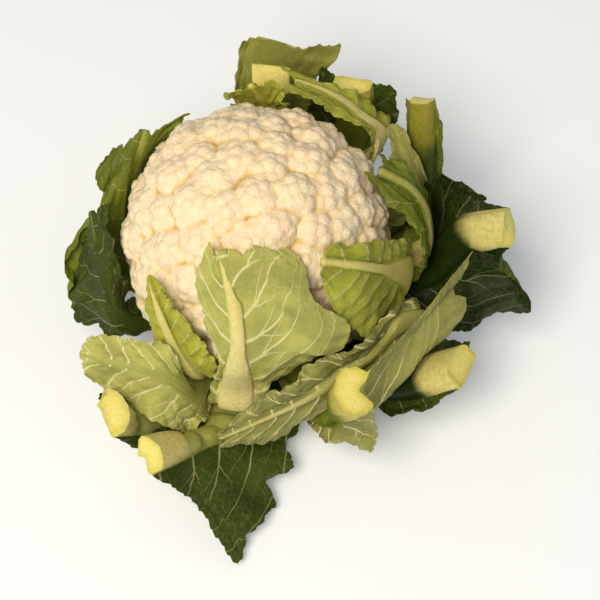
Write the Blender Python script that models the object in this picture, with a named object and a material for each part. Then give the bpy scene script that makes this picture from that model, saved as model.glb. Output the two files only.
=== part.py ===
"""A cauliflower head: a curd of florets on a cut stem, wrapped in ribbed, lobed leaves.

It stands on the flat cut face of its stem. The origin is the centre of that face, +Z is up, +Y is the
back of the head and the broad pale leaf stands in front of the curd, towards -Y. The script works in
metres, and the leaf table is in millimetres.
"""

import math
from collections import namedtuple

import bpy
import bmesh
import numpy as np
from mathutils import Vector
from mathutils.bvhtree import BVHTree

MM = 0.001
GOLDEN_ANGLE = math.pi * (3.0 - math.sqrt(5.0))

# Curd
CURD_CENTRE = np.array([0.0, 0.0, 75.0])  # mm, the middle of the dome
CURD_CORE_RADIUS = 64.0  # solid heart under the florets
CURD_BASE_HEIGHT = 46.0  # flat underside, over the stem
CURD_BASE_RADIUS = 24.0
CURD_BASE_SLOPE = 0.3  # rise of the underside outwards
FLORET_COUNT = 116
FLORET_RADIUS = 15.0
FLORET_SIZES = (0.82, 1.15)  # smallest and largest, as shares of the radius
FLORET_HEIGHTS = (-3.5, 0.5)  # how far florets stand in or out of the outline
FLORET_JITTER = 0.6
FLORET_LOWEST = math.radians(116.0)  # polar angle of the lowest florets
CURD_OUTLINE = 82.5
BUDS_PER_FLORET = 13
BUD_RADIUS = 5.2
BUD_SIZES = (0.85, 1.15)
BUD_SUNK = 0.48  # share of a bud's radius that its middle lies under the floret's skin
BUD_SPREAD = math.radians(60.0)  # how far round a floret its buds reach
BUD_JITTER = 0.5
BUD_CLOSEST = 6.3  # no two bud tips are nearer than this
TIP_SHOWS = 0.8  # a bud counts as a tip if no more than this lies over it
UNDERSIDE_RINGS = ((math.radians(120.0), 26), (math.radians(129.0), 20), (math.radians(140.0), 14))
CURD_COLOUR = (0.86, 0.76, 0.55)
CURD_ROUGHNESS = 0.6
CURD_SEED = 7

# Stem
STEM_RADIUS = 26.0
STEM_HEIGHT = 45.6
STEM_CUT_RADIUS = 24.5
STEM_SIDES = 30
STEM_LEVELS = ((0.0, STEM_CUT_RADIUS), (1.2, 25.6), (9.0, STEM_RADIUS), (22.5, STEM_RADIUS), (35.0, 25.4),
               (42.6, 24.0), (STEM_HEIGHT, 21.5))  # height and radius
STEM_RIDGES = 5
STEM_RIDGE_TURN = 0.2  # radians that the ridges turn in a millimetre of height
STEM_RIPPLE = 0.012
STEM_COLOUR = (0.62, 0.68, 0.36)
STEM_ROUGHNESS = 0.5

# Leaves
BLADE_THICKNESS = 1.5
LEAF_GAP = 1.5  # between one leaf and the next
BASE_RADIUS = 28.2  # where a petiole starts, just off the stem
NECK_RADIUS = 46.0
NECK_RISE = 3.0
FLANK_MARGIN = 0.6  # blade beside the rib of a bare petiole
NECK_SPREAD = 1.15
RING_HEIGHTS = (9.0, 22.5, 35.0)  # middle of the petioles of each ring of leaves
RING_HALF_WIDTHS = (11.0, 8.0, 6.0)
RING_DEPTHS = (6.5, 5.5, 4.2)
RIB_MOST = 0.62  # most of a half's width that the rib takes
RIB_TAPER = 0.8  # power of the length with which a rib tapers
SWELL_END = 0.7  # share of the length over which a rib is swollen
BLADE_FROM = 0.25  # share of the length at which waves and lobes begin
BLADE_WITHIN = 0.25  # share of the length within which they reach their full size
LOBE_SIDE_SHIFT = 0.31  # how far the lobes of the two sides are out of step
LOBE_LEAF_SHIFT = 0.17  # how far those of two leaves are, a degree of azimuth
WAVES_PER_LOBE = 0.8
WAVE_SIDE_SHIFT = 1.3  # radians
END_SHARES = (0.15, 0.5, 1.0)  # how much of the rounding the last three rows take
LEAF_ROWS = 14
RIB_COLUMNS = (0.68, 1.0)  # across the rib, as shares of its half width
BLADE_COLUMNS = (0.36, 0.7, 1.0)  # across the blade, from the rib's flank to the margin
SETTLE_ROUNDS = 8
SETTLED = 0.05  # mm by which a settled leaf may still fall short
RAY_LENGTH = 400.0
PARTING_ROUNDS = 60
FIXED_ROWS = 2  # rows at the stem that stay where they are
PARTING_STEP = 0.3  # mm
SAMPLES_PER_CELL = 3
RING_COLOURS = ((0.16, 0.24, 0.06), (0.30, 0.40, 0.12), (0.45, 0.52, 0.20))
LEAF_ROUGHNESS = 0.45

# One leaf. base: azimuth in degrees and ring of the petiole. rib, a and b: points in mm along the
# midrib, the margin on the side of growing azimuth and the other margin. half_width, depth and inner: the
# rib at its end, with how far its thick and its flat side stand out. swell: how much wider the rib
# grows before it tapers, or narrower where it is negative. cut: share of the length at which the thick rib is
# cut across. stub: how far a cut rib reaches past the blade. bulge: how far each half arches out, wave:
# height of the margin's waves, round_end: how far the end of each half is rounded out, all in mm. lobes: how
# many each side has. notch: their depth as a share of the half's width.
LEAF_FIELDS = "name base rib a b half_width depth swell inner cut stub bulge wave round_end lobes notch"
Leaf = namedtuple("Leaf", LEAF_FIELDS, defaults=(3.2, 2.6, 3.0, 0.0, 1.0, 0.0, 2.0, 2.0, 3.0, 4, 0.18))

LEAVES = (
    Leaf("Leaf_RightInner", (-40, 2),
         [(88, -14, 58), (76, -32, 92), (58, -46, 118), (38, -52, 131)],
         [(88, 2, 68), (82, -14, 100), (66, -30, 121), (46, -40, 131)],
         [(82, -40, 50), (68, -68, 72), (52, -76, 96), (38, -66, 120)],
         half_width=2.4, swell=8.0, lobes=5, notch=0.2),
    Leaf("Leaf_CurlRight", (-5, 2),
         [(98, 4, 56), (100, 8, 86), (90, 12, 108), (72, 16, 121)],
         [(96, 22, 60), (99, 30, 86), (88, 34, 104), (72, 34, 117)],
         [(97, -14, 56), (96, -16, 84), (84, -8, 108), (60, 12, 124)],
         wave=2.5, notch=0.2),
    Leaf("Leaf_PaleUpperRight", (25, 2),
         [(92, 34, 74), (88, 46, 94), (80, 58, 108)],
         [(77, 50, 79), (78, 54, 93), (77, 60, 104)],
         [(104, 30, 66), (102, 40, 84), (90, 54, 106)],
         half_width=2.0, swell=0.0, lobes=3, notch=0.12),
    Leaf("Leaf_OverTop", (60, 2),
         [(73, 62, 84), (57, 63, 118), (41, 62, 135), (24, 66, 140)],
         [(80, 77, 88), (60, 76, 118), (43, 74, 132), (14, 80, 138)],
         [(63, 45, 84), (50, 48, 124), (34, 50, 141), (18, 56, 144)],
         half_width=2.4, swell=7.0, notch=0.2),
    Leaf("Leaf_BackFrill", (96, 2),
         [(3, 84, 84), (1, 80, 110), (-3, 76, 124)],
         [(-16, 84, 84), (-20, 76, 112), (-20, 72, 124)],
         [(22, 84, 86), (18, 80, 112), (15, 80, 126)],
         half_width=2.8, bulge=1.0, notch=0.2),
    Leaf("Leaf_FrontLeftNarrow", (-140, 2),
         [(-34, -74, 46), (-44, -76, 76), (-52, -68, 104), (-58, -54, 118)],
         [(-22, -78, 52), (-24, -80, 84), (-42, -70, 110), (-56, -53, 119)],
         [(-46, -68, 44), (-60, -66, 72), (-61, -62, 98), (-60, -54, 116)],
         half_width=2.2, swell=0.5, round_end=1.0, notch=0.2),
    Leaf("Leaf_FrontBroad", (-92, 2),
         [(-12, -86, 28), (-11, -86, 54), (-10, -88, 80), (-9, -84, 106), (-12, -70, 124), (-19, -50, 137)],
         [(5, -88, 27), (9, -86, 52), (36, -82, 74), (52, -74, 92), (38, -60, 120), (22, -46, 136)],
         [(-29, -84, 27), (-26, -84, 54), (-22, -86, 84), (-30, -70, 106), (-34, -58, 124), (-25, -42, 140)],
         half_width=2.6, depth=2.6, swell=6.0, wave=2.5, lobes=5, notch=0.24),
    Leaf("Leaf_Left", (-166, 1),
         [(-77, -46, 50), (-90, -25, 76), (-97, 5, 96)],
         [(-82, -46, 38), (-113, -29, 40), (-104, -2, 74)],
         [(-73, -18, 43), (-80, -20, 92), (-88, 8, 106)],
         half_width=2.0, depth=2.0, swell=-1.5, wave=2.5, round_end=1.0, lobes=5, notch=0.2),
    Leaf("Leaf_UpperRight", (60, 1),
         [(56, 80, 60), (60, 88, 92), (58, 88, 112)],
         [(28, 92, 62), (31, 93, 96), (39, 94, 122)],
         [(76, 74, 64), (84, 76, 90), (84, 82, 118)],
         half_width=11.5, depth=9.0, inner=2.0, stub=3.0, wave=1.5, round_end=1.0, lobes=3, notch=0.12),
    Leaf("Leaf_FrontBent", (-36, 1),
         [(80, -38, 60), (78, -58, 74), (60, -78, 70), (32, -96, 62), (0, -108, 52), (-20, -114, 44)],
         [(84, -28, 62), (72, -52, 86), (50, -78, 88), (24, -96, 84), (2, -106, 70), (-14, -110, 56)],
         [(78, -48, 54), (84, -70, 62), (70, -86, 48), (36, -100, 36), (0, -114, 30), (-20, -118, 34)],
         half_width=2.2, swell=0.0, wave=2.5, round_end=2.0, lobes=6, notch=0.2),
    Leaf("Leaf_FrontRightCut", (-76, 1),
         [(42, -84, 30), (51, -100, 56), (55, -108, 80)],
         [(72, -72, 40), (118, -58, 78), (127, -22, 100)],
         [(28, -96, 28), (42, -116, 36), (68, -126, 44)],
         half_width=12.0, depth=12.0, inner=1.0, stub=12.0, bulge=3.0, round_end=7.0, lobes=5),
    Leaf("Leaf_Right", (4, 1),
         [(104, 0, 44), (116, 0, 66), (125, 0, 83), (138, -3, 92)],
         [(96, 22, 54), (100, 34, 82), (106, 26, 108), (132, 10, 110)],
         [(104, -42, 32), (132, -44, 46), (168, -38, 60), (141, -22, 76)],
         half_width=11.0, depth=11.0, inner=1.5, stub=14.0, bulge=3.0, wave=2.0, round_end=1.0, lobes=5),
    Leaf("Leaf_FrontLeft", (-128, 1),
         [(-34, -88, 44), (-48, -94, 72), (-70, -92, 84), (-98, -84, 84)],
         [(-28, -96, 32), (-44, -114, 42), (-70, -106, 60), (-96, -92, 72)],
         [(-40, -76, 52), (-46, -80, 86), (-68, -78, 95), (-92, -76, 94)],
         half_width=2.0, depth=2.2, swell=0.0, bulge=2.5, wave=2.5, lobes=5, notch=0.2),
    Leaf("Leaf_Back", (84, 0),
         [(8, 106, 50), (8, 104, 86), (8, 107, 108), (12, 113, 122)],
         [(-14, 100, 56), (-16, 96, 92), (-13, 107, 111), (-10, 113, 124)],
         [(42, 98, 54), (38, 106, 92), (46, 106, 112), (57, 109, 125)],
         half_width=12.0, depth=4.0, inner=8.0, cut=0.79, wave=1.5, round_end=0.0, lobes=5, notch=0.2),
    Leaf("Leaf_UpperLeft", (150, 0),
         [(-78, 20, 50), (-76, 32, 88), (-66, 48, 116)],
         [(-80, -20, 50), (-92, 4, 82), (-97, 34, 106)],
         [(-62, 50, 58), (-54, 58, 98), (-33, 60, 122)],
         half_width=3.4, depth=3.0, bulge=3.0, wave=3.0, round_end=1.0, lobes=6, notch=0.2),
    Leaf("Leaf_TallRib", (30, 0),
         [(98, 50, 44), (102, 56, 86), (100, 68, 110)],
         [(87, 60, 48), (90, 70, 88), (89, 78, 112)],
         [(108, 38, 48), (112, 48, 84), (111, 62, 108)],
         half_width=9.5, depth=8.0, inner=1.0, stub=9.0, bulge=0.5, wave=0.5, round_end=0.0, lobes=3,
         notch=0.1),
    Leaf("Leaf_LowerRightCut", (-42, 0),
         [(84, -70, 32), (101, -77, 44), (113, -81, 56)],
         [(98, -40, 32), (116, -50, 46), (126, -60, 58)],
         [(76, -90, 24), (88, -98, 38), (98, -99, 50)],
         half_width=13.5, depth=13.0, inner=2.0, stub=12.0),
    Leaf("Leaf_LowerLeftCut", (-152, 0),
         [(-54, -86, 28), (-67, -104, 48), (-78, -114, 66)],
         [(-42, -96, 20), (-54, -114, 34), (-64, -126, 50)],
         [(-66, -72, 34), (-78, -90, 56), (-88, -102, 74)],
         half_width=13.5, depth=12.5, inner=1.5, stub=10.0),
    Leaf("Leaf_FrontDrooping", (-98, 0),
         [(-24, -94, 24), (-41, -115, 41), (-51, -127, 53)],
         [(27, -98, 15), (14, -143, 7), (-8, -183, 4)],
         [(-32, -86, 32), (-50, -106, 50), (-63, -124, 60)],
         half_width=10.5, depth=10.0, inner=1.5, stub=18.0, bulge=3.0, wave=3.0, round_end=0.0, lobes=6,
         notch=0.24),
)


def clear_scene():
    for obj in list(bpy.data.objects):
        bpy.data.objects.remove(obj, do_unlink=True)


def material(name, colour, roughness):
    made = bpy.data.materials.new(name)
    made.use_nodes = True
    shader = made.node_tree.nodes["Principled BSDF"]
    shader.inputs["Base Color"].default_value = (*colour, 1.0)
    shader.inputs["Roughness"].default_value = roughness
    return made


def add_object(name, points_mm, faces, colour, roughness, smooth):
    mesh = bpy.data.meshes.new(name)
    mesh.from_pydata((np.asarray(points_mm) * MM).tolist(), [], np.asarray(faces).tolist())
    mesh.update()
    mesh.polygons.foreach_set("use_smooth", [smooth] * len(mesh.polygons))
    obj = bpy.data.objects.new(name, mesh)
    obj.data.materials.append(material(name + "_finish", colour, roughness))
    bpy.context.scene.collection.objects.link(obj)
    return obj


# Curd

def spread_directions(count, lowest, jitter, rng):
    """Directions spread evenly by the golden angle from straight up down to a lowest polar angle."""
    steps = (np.arange(count) + 0.5) / count
    upright = 1.0 - steps * (1.0 - math.cos(lowest)) + rng.normal(0.0, jitter / count, count)
    upright = np.clip(upright, math.cos(lowest), 1.0)
    turn = np.arange(count) * GOLDEN_ANGLE + rng.normal(0.0, jitter / math.sqrt(count), count)
    level = np.sqrt(1.0 - upright**2)
    return np.column_stack([level * np.cos(turn), level * np.sin(turn), upright])


def frame_about(direction):
    """Two unit vectors square to a direction."""
    helper = np.array([1.0, 0.0, 0.0]) if abs(direction[2]) > 0.9 else np.array([0.0, 0.0, 1.0])
    first = np.cross(helper, direction)
    first /= np.linalg.norm(first)
    return first, np.cross(direction, first)


def floret_balls():
    """Centre (from the curd's centre) and radius of each floret, then of each bud on the florets."""
    rng = np.random.default_rng(CURD_SEED)
    directions = spread_directions(FLORET_COUNT, FLORET_LOWEST, FLORET_JITTER, rng)
    radii = FLORET_RADIUS * rng.uniform(*FLORET_SIZES, FLORET_COUNT)
    outline = CURD_OUTLINE + rng.uniform(*FLORET_HEIGHTS, FLORET_COUNT)
    centres = directions * (outline - radii - BUD_RADIUS * (1.0 - BUD_SUNK))[:, None]
    bud_centres = []
    bud_radii = []
    for direction, centre, radius in zip(directions, centres, radii):
        first, second = frame_about(direction)
        local = spread_directions(BUDS_PER_FLORET, BUD_SPREAD, BUD_JITTER, rng)
        spin = rng.uniform(0.0, 2.0 * math.pi)
        east = local[:, 0] * math.cos(spin) - local[:, 1] * math.sin(spin)
        north = local[:, 0] * math.sin(spin) + local[:, 1] * math.cos(spin)
        outward = east[:, None] * first + north[:, None] * second + local[:, 2:] * direction
        size = BUD_RADIUS * rng.uniform(*BUD_SIZES, BUDS_PER_FLORET)
        bud_centres.append(centre + outward * (radius - size * BUD_SUNK)[:, None])
        bud_radii.append(size)
    return centres, radii, np.vstack(bud_centres), np.concatenate(bud_radii)


def core_reach(directions):
    """Distance from the curd's centre to its plain heart: a ball cut off below by a shallow cone."""
    down = np.maximum(-directions[:, 2], 1e-6)
    level = np.sqrt(np.maximum(1.0 - directions[:, 2] ** 2, 0.0))
    drop = CURD_CENTRE[2] - CURD_BASE_HEIGHT
    flat = drop / down
    cone = (drop + CURD_BASE_SLOPE * CURD_BASE_RADIUS) / (down + CURD_BASE_SLOPE * level)
    return np.minimum(np.minimum(flat, cone), CURD_CORE_RADIUS)


def ball_reach(directions, centres, radii):
    """Distance from the curd's centre to the far side of the outermost ball along each direction."""
    along = directions @ centres.T
    inside = along**2 + radii**2 - np.sum(centres**2, axis=1)
    reach = np.where(inside > 0.0, along + np.sqrt(np.maximum(inside, 0.0)), 0.0)
    return reach.max(axis=1)


def curd_reach(directions, balls):
    centres, radii, bud_centres, bud_radii = balls
    reach = np.maximum(core_reach(directions), ball_reach(directions, centres, radii))
    reach = np.maximum(reach, ball_reach(directions, bud_centres, bud_radii))
    floor = (CURD_CENTRE[2] - CURD_BASE_HEIGHT) / np.maximum(-directions[:, 2], 1e-6)
    return np.minimum(reach, floor)


def bud_tips(balls):
    """Directions of the buds that show, none nearer to another than BUD_CLOSEST."""
    bud_centres, bud_radii = balls[2], balls[3]
    distance = np.linalg.norm(bud_centres, axis=1)
    directions = bud_centres / distance[:, None]
    shows = distance + bud_radii > curd_reach(directions, balls) - TIP_SHOWS
    kept = []
    for direction in directions[shows]:
        if all(np.linalg.norm(direction - other) * CURD_OUTLINE > BUD_CLOSEST for other in kept):
            kept.append(direction)
    return np.array(kept)


def underside_directions():
    """Rings of directions over the plain underside, and its middle."""
    found = [(0.0, 0.0, -1.0)]
    for polar, count in UNDERSIDE_RINGS:
        for step in range(count):
            turn = 2.0 * math.pi * (step + 0.5 * (count % 4 == 0)) / count
            level = math.sin(polar)
            found.append((level * math.cos(turn), level * math.sin(turn), math.cos(polar)))
    return np.array(found)


def hull_triangles(directions):
    """Triangles between neighbouring directions: the convex hull of their points on a unit ball."""
    mesh = bmesh.new()
    for index, direction in enumerate(directions):
        mesh.verts.new(direction.tolist()).index = index
    mesh.verts.index_update()
    bmesh.ops.convex_hull(mesh, input=mesh.verts)
    bmesh.ops.triangulate(mesh, faces=mesh.faces)
    triangles = np.array([[vert.index for vert in face.verts] for face in mesh.faces])
    mesh.free()
    corners = directions[triangles]
    turned = np.einsum("ij,ij->i", np.cross(corners[:, 1] - corners[:, 0], corners[:, 2] - corners[:, 0]),
                       corners[:, 0]) < 0.0
    triangles[turned] = triangles[turned][:, ::-1]
    return triangles


def peaked_faces(triangles, count):
    """A fan round each direction, whose rim runs through the middles of the triangles that meet there."""
    sides = {}
    for index, (first, second, third) in enumerate(triangles):
        for start, end in ((first, second), (second, third), (third, first)):
            sides[(start, end)] = index
    faces = []
    for (start, end), index in sides.items():
        faces.append((start, count + sides[(end, start)], count + index))
    return faces


def build_curd():
    balls = floret_balls()
    tips = np.vstack([bud_tips(balls), underside_directions()])
    triangles = hull_triangles(tips)
    middles = tips[triangles].mean(axis=1)
    middles /= np.linalg.norm(middles, axis=1)[:, None]
    tip_reach = curd_reach(tips, balls)
    crevice_reach = curd_reach(middles, balls)
    directions = np.vstack([tips, middles])
    points = CURD_CENTRE + directions * np.concatenate([tip_reach, crevice_reach])[:, None]
    faces = np.array(peaked_faces(triangles, len(tips)))
    add_object("Curd", points, faces, CURD_COLOUR, CURD_ROUGHNESS, True)
    return points, faces


# Stem

def build_stem():
    """A stub with a flat cut face below, a little flared, with shallow scars where the petioles grow."""
    turns = 2.0 * math.pi * np.arange(STEM_SIDES) / STEM_SIDES
    points = []
    for height, radius in STEM_LEVELS:
        ridges = 1.0 + np.cos(STEM_RIDGES * turns + height * STEM_RIDGE_TURN)
        ripple = radius * (1.0 - STEM_RIPPLE * ridges)
        heights = np.full(STEM_SIDES, height)
        points.append(np.column_stack([ripple * np.cos(turns), ripple * np.sin(turns), heights]))
    points = np.vstack(points + [[[0.0, 0.0, 0.0], [0.0, 0.0, STEM_HEIGHT]]])
    faces = []
    low_middle, high_middle = len(points) - 2, len(points) - 1
    top = (len(STEM_LEVELS) - 1) * STEM_SIDES
    for side in range(STEM_SIDES):
        after = (side + 1) % STEM_SIDES
        faces.append((low_middle, after, side))
        faces.append((high_middle, top + side, top + after))
        for level in range(len(STEM_LEVELS) - 1):
            low, high = level * STEM_SIDES, (level + 1) * STEM_SIDES
            faces.append((low + side, low + after, high + after))
            faces.append((low + side, high + after, high + side))
    add_object("Stem", points, faces, STEM_COLOUR, STEM_ROUGHNESS, False)
    return points, np.array(faces)


# Leaves

def spline(knots, values, at):
    """A smooth curve through the values, with slopes taken from the neighbours on both sides."""
    knots, values = np.asarray(knots), np.asarray(values, float)
    slopes = np.empty_like(values)
    slopes[1:-1] = (values[2:] - values[:-2]) / (knots[2:] - knots[:-2])[:, None]
    slopes[0] = (values[1] - values[0]) / (knots[1] - knots[0])
    slopes[-1] = (values[-1] - values[-2]) / (knots[-1] - knots[-2])
    place = np.clip(np.searchsorted(knots, at, side="right") - 1, 0, len(knots) - 2)
    step = (knots[place + 1] - knots[place])[:, None]
    share = (at - knots[place])[:, None] / step
    rest = 1.0 - share
    return (values[place] * rest**2 * (1 + 2 * share) + slopes[place] * step * share * rest**2
            + values[place + 1] * share**2 * (1 + 2 * rest) - slopes[place + 1] * step * share**2 * rest)


def station_curves(leaf):
    """Knots and the three curves of a leaf, from the stem through its neck to the rows of the table."""
    azimuth, ring = math.radians(leaf.base[0]), leaf.base[1]
    outward = np.array([math.cos(azimuth), math.sin(azimuth), 0.0])
    sideways = np.array([-math.sin(azimuth), math.cos(azimuth), 0.0])
    base = outward * BASE_RADIUS + [0.0, 0.0, RING_HEIGHTS[ring]]
    neck = outward * NECK_RADIUS + [0.0, 0.0, RING_HEIGHTS[ring] + NECK_RISE]
    flank = sideways * (RING_HALF_WIDTHS[ring] + FLANK_MARGIN)
    rib = np.vstack([[base, neck], leaf.rib])
    side_a = np.vstack([[base + flank, neck + flank * NECK_SPREAD], leaf.a])
    side_b = np.vstack([[base - flank, neck - flank * NECK_SPREAD], leaf.b])
    lengths = sum(np.linalg.norm(np.diff(curve, axis=0), axis=1) for curve in (rib, side_a, side_b))
    knots = np.concatenate([[0.0], np.cumsum(lengths)])
    return knots / knots[-1], rib, side_a, side_b


def normals_of(grid):
    along = np.gradient(grid, axis=0)
    across = np.gradient(grid, axis=1)
    normal = np.cross(along, across)
    return normal / np.maximum(np.linalg.norm(normal, axis=2), 1e-9)[..., None]


def blade_start(u):
    """0 on the bare petiole near the stem, 1 where the blade has its full waves and lobes."""
    return np.clip((u - BLADE_FROM) / BLADE_WITHIN, 0.0, 1.0)


def rib_sizes(leaf, u):
    """Half width of the rib and how far its thick side and its flat side stand out, at each row."""
    ring = leaf.base[1]
    taper = u**RIB_TAPER
    swell = np.clip(u / SWELL_END, 0.0, 1.0)
    half_width = RING_HALF_WIDTHS[ring] + (leaf.half_width - RING_HALF_WIDTHS[ring]) * taper
    half_width = half_width + leaf.swell * 4.0 * swell * (1.0 - swell)
    thick = u <= leaf.cut + 1e-6
    behind = (RING_DEPTHS[ring] + (leaf.depth - RING_DEPTHS[ring]) * taper) * thick
    return half_width, behind, leaf.inner * taper * thick


def column_shares():
    """Across the leaf from margin a to margin b: which side, share of the rib and share of the blade."""
    rib = [0.0, *RIB_COLUMNS] + [1.0] * len(BLADE_COLUMNS)
    blade = [0.0] * (1 + len(RIB_COLUMNS)) + list(BLADE_COLUMNS)
    side = np.concatenate([np.ones(len(rib)), -np.ones(len(rib) - 1)])
    return side, np.array(rib[::-1] + rib[1:]), np.array(blade[::-1] + blade[1:])


def leaf_sheet(leaf, rows):
    """The sheet halfway through the blade, as a grid from the stem outwards and from margin a to b."""
    knots, rib, side_a, side_b = station_curves(leaf)
    u = np.linspace(0.0, 1.0, rows + 1)
    rib, side_a, side_b = (spline(knots, curve, u) for curve in (rib, side_a, side_b))
    heading = np.gradient(rib, axis=0)
    heading /= np.linalg.norm(heading, axis=1)[:, None]
    half_width = rib_sizes(leaf, u)[0]
    start = blade_start(u)
    side, rib_share, blade_share = column_shares()
    sheet = []
    for column_side, rib_part, blade_part in zip(side, rib_share, blade_share):
        reach = (side_a if column_side > 0 else side_b) - rib
        square = reach - np.sum(reach * heading, axis=1)[:, None] * heading
        width = np.linalg.norm(square, axis=1)
        flank = square * (np.minimum(half_width, width * RIB_MOST) / width)[:, None]
        swing = leaf.lobes * u + LOBE_SIDE_SHIFT * column_side + LOBE_LEAF_SHIFT * leaf.base[0]
        lobe = 1.0 - leaf.notch * start * (1.0 - np.abs(np.sin(math.pi * swing)))
        sheet.append(rib + flank * rib_part + (reach - flank) * (blade_part * lobe)[:, None])
    sheet = np.stack(sheet, axis=1)
    return shaped_end(leaf, relief(leaf, sheet, u, start, side, blade_share), blade_share)


def relief(leaf, sheet, u, start, side, blade_share):
    """The sheet with each half arched out and its margins waved."""
    swell = leaf.bulge * 4.0 * blade_share * (1.0 - blade_share)
    turns = 2.0 * math.pi * leaf.lobes * WAVES_PER_LOBE * u[:, None] + side * WAVE_SIDE_SHIFT + leaf.base[0]
    wave = leaf.wave * blade_share**2 * np.sin(turns)
    return sheet + normals_of(sheet) * ((swell + wave) * start[:, None])[..., None]


def shaped_end(leaf, sheet, blade_share):
    """The sheet with the end of each half rounded out, and a cut rib reaching past the blade."""
    heading = sheet[-1] - sheet[-2]
    heading /= np.linalg.norm(heading, axis=1)[:, None]
    rounding = leaf.round_end * 4.0 * blade_share * (1.0 - blade_share)
    for row, share in zip((-3, -2, -1), END_SHARES):
        sheet[row] += heading * (rounding * share)[:, None]
    on_rib = blade_share == 0.0
    sheet[-1, on_rib] += heading[on_rib] * leaf.stub
    return sheet


def finer(grid, times):
    """The grid with straight steps between its points, so that samples fall inside each cell too."""
    for axis in (0, 1):
        count = grid.shape[axis]
        place = np.linspace(0.0, count - 1.0, (count - 1) * times + 1)
        low = np.clip(place.astype(int), 0, count - 2)
        share = (place - low).reshape((-1, 1, 1) if axis == 0 else (1, -1, 1))
        grid = np.take(grid, low, axis=axis) * (1.0 - share) + np.take(grid, low + 1, axis=axis) * share
    return grid


def lacking(sheet, inner, tree):
    """How far each sample of the sheet lies inside the place that clears what is already built."""
    samples = finer(np.dstack([sheet, inner]), SAMPLES_PER_CELL)
    lack = np.zeros(samples.shape[:2])
    for index in np.ndindex(lack.shape):
        offset = samples[index][:3] - CURD_CENTRE
        distance = np.linalg.norm(offset)
        outward = Vector(offset / distance)
        hit = tree.ray_cast(Vector(CURD_CENTRE) + outward * RAY_LENGTH, -outward, RAY_LENGTH)
        if hit[0] is not None:
            needed = RAY_LENGTH - hit[3] + LEAF_GAP + BLADE_THICKNESS * 0.5 + samples[index][3]
            lack[index] = needed - distance
    return np.maximum(lack, 0.0)


def moved_out(sheet, move):
    offset = sheet - CURD_CENTRE
    return sheet + offset / np.linalg.norm(offset, axis=2)[..., None] * move[..., None]


def settle(sheet, inner, tree):
    """Moves the sheet outwards from the curd's centre until it clears the curd and the inner leaves."""
    reach = SAMPLES_PER_CELL
    for _ in range(SETTLE_ROUNDS):
        lack = lacking(sheet, inner, tree)
        if lack.max() < SETTLED:
            break
        padded = np.pad(lack, reach)
        move = np.zeros(sheet.shape[:2])
        for row, column in np.ndindex(move.shape):
            low, left = row * reach, column * reach
            move[row, column] = padded[low:low + 2 * reach + 1, left:left + 2 * reach + 1].max()
        sheet = moved_out(sheet, move)
    return sheet


def rib_sides(leaf, thick, flat):
    """What stands out on the outer and on the inner face. A rib with a stub has its thick side inside."""
    return (flat, thick) if leaf.stub > 0.0 else (thick, flat)


def leaf_points(leaf, sheet):
    """The outer face's points, then those of the inner face, each with its side of the rib."""
    half_width, thick, flat = rib_sizes(leaf, np.linspace(0.0, 1.0, len(sheet)))
    outer, inner = rib_sides(leaf, thick, flat)
    side, rib_share, blade_share = column_shares()
    profile = np.cbrt(1.0 - rib_share**3) * (blade_share == 0.0)
    outward = normals_of(sheet)
    back = sheet + outward * (BLADE_THICKNESS * 0.5 + outer[:, None] * profile)[..., None]
    front = sheet - outward * (BLADE_THICKNESS * 0.5 + inner[:, None] * profile)[..., None]
    return np.vstack([back.reshape(-1, 3), front.reshape(-1, 3)])


def leaf_faces(rows, columns):
    """Triangles of both faces, split alike on both, and of the strip that closes the margin."""
    number = np.arange(rows * columns).reshape(rows, columns)
    back = rows * columns
    faces = []
    for row, column in np.ndindex(rows - 1, columns - 1):
        corner = (number[row, column], number[row + 1, column],
                  number[row + 1, column + 1], number[row, column + 1])
        splits = (((0, 1, 2), (0, 2, 3)), ((0, 1, 3), (1, 2, 3)))
        for triple in splits[int((column >= columns // 2) == (row % 2 == 0))]:
            first, second, third = (corner[pick] for pick in triple)
            faces.append((first, second, third))
            faces.append((third + back, second + back, first + back))
    rim = [*number[0, :], *number[1:, -1], *number[-1, -2::-1], *number[-2:0:-1, 0]]
    for start, end in zip(rim, rim[1:] + rim[:1]):
        faces.append((start, end, end + back))
        faces.append((start, end + back, start + back))
    return np.array(faces)


def tree_of(solids):
    points = []
    faces = []
    count = 0
    for solid_points, solid_faces in solids:
        points.extend(solid_points.tolist())
        faces.extend((np.asarray(solid_faces) + count).tolist())
        count += len(solid_points)
    return BVHTree.FromPolygons(points, faces)


def touched_points(triangles, faces, count):
    """Grid numbers of the points of some triangles, whichever face they are on."""
    return np.unique(faces[sorted(triangles)] % count) if triangles else np.array([], int)


def relaxed(sheet, points):
    """The sheet with some of its points drawn halfway to the middle of their neighbours."""
    rows, columns = sheet.shape[:2]
    eased = sheet.copy()
    for point in points:
        row, column = divmod(int(point), columns)
        if row < FIXED_ROWS:
            continue
        rows_near = [sheet[near, column] for near in (row - 1, row + 1) if near < rows]
        columns_near = [sheet[row, near] for near in (column - 1, column + 1) if 0 <= near < columns]
        near = rows_near + columns_near
        if len(columns_near) == 1:
            near = rows_near
        elif len(rows_near) == 1:
            near = columns_near
        eased[row, column] = 0.5 * sheet[row, column] + 0.5 * np.mean(near, axis=0)
    return eased


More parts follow.
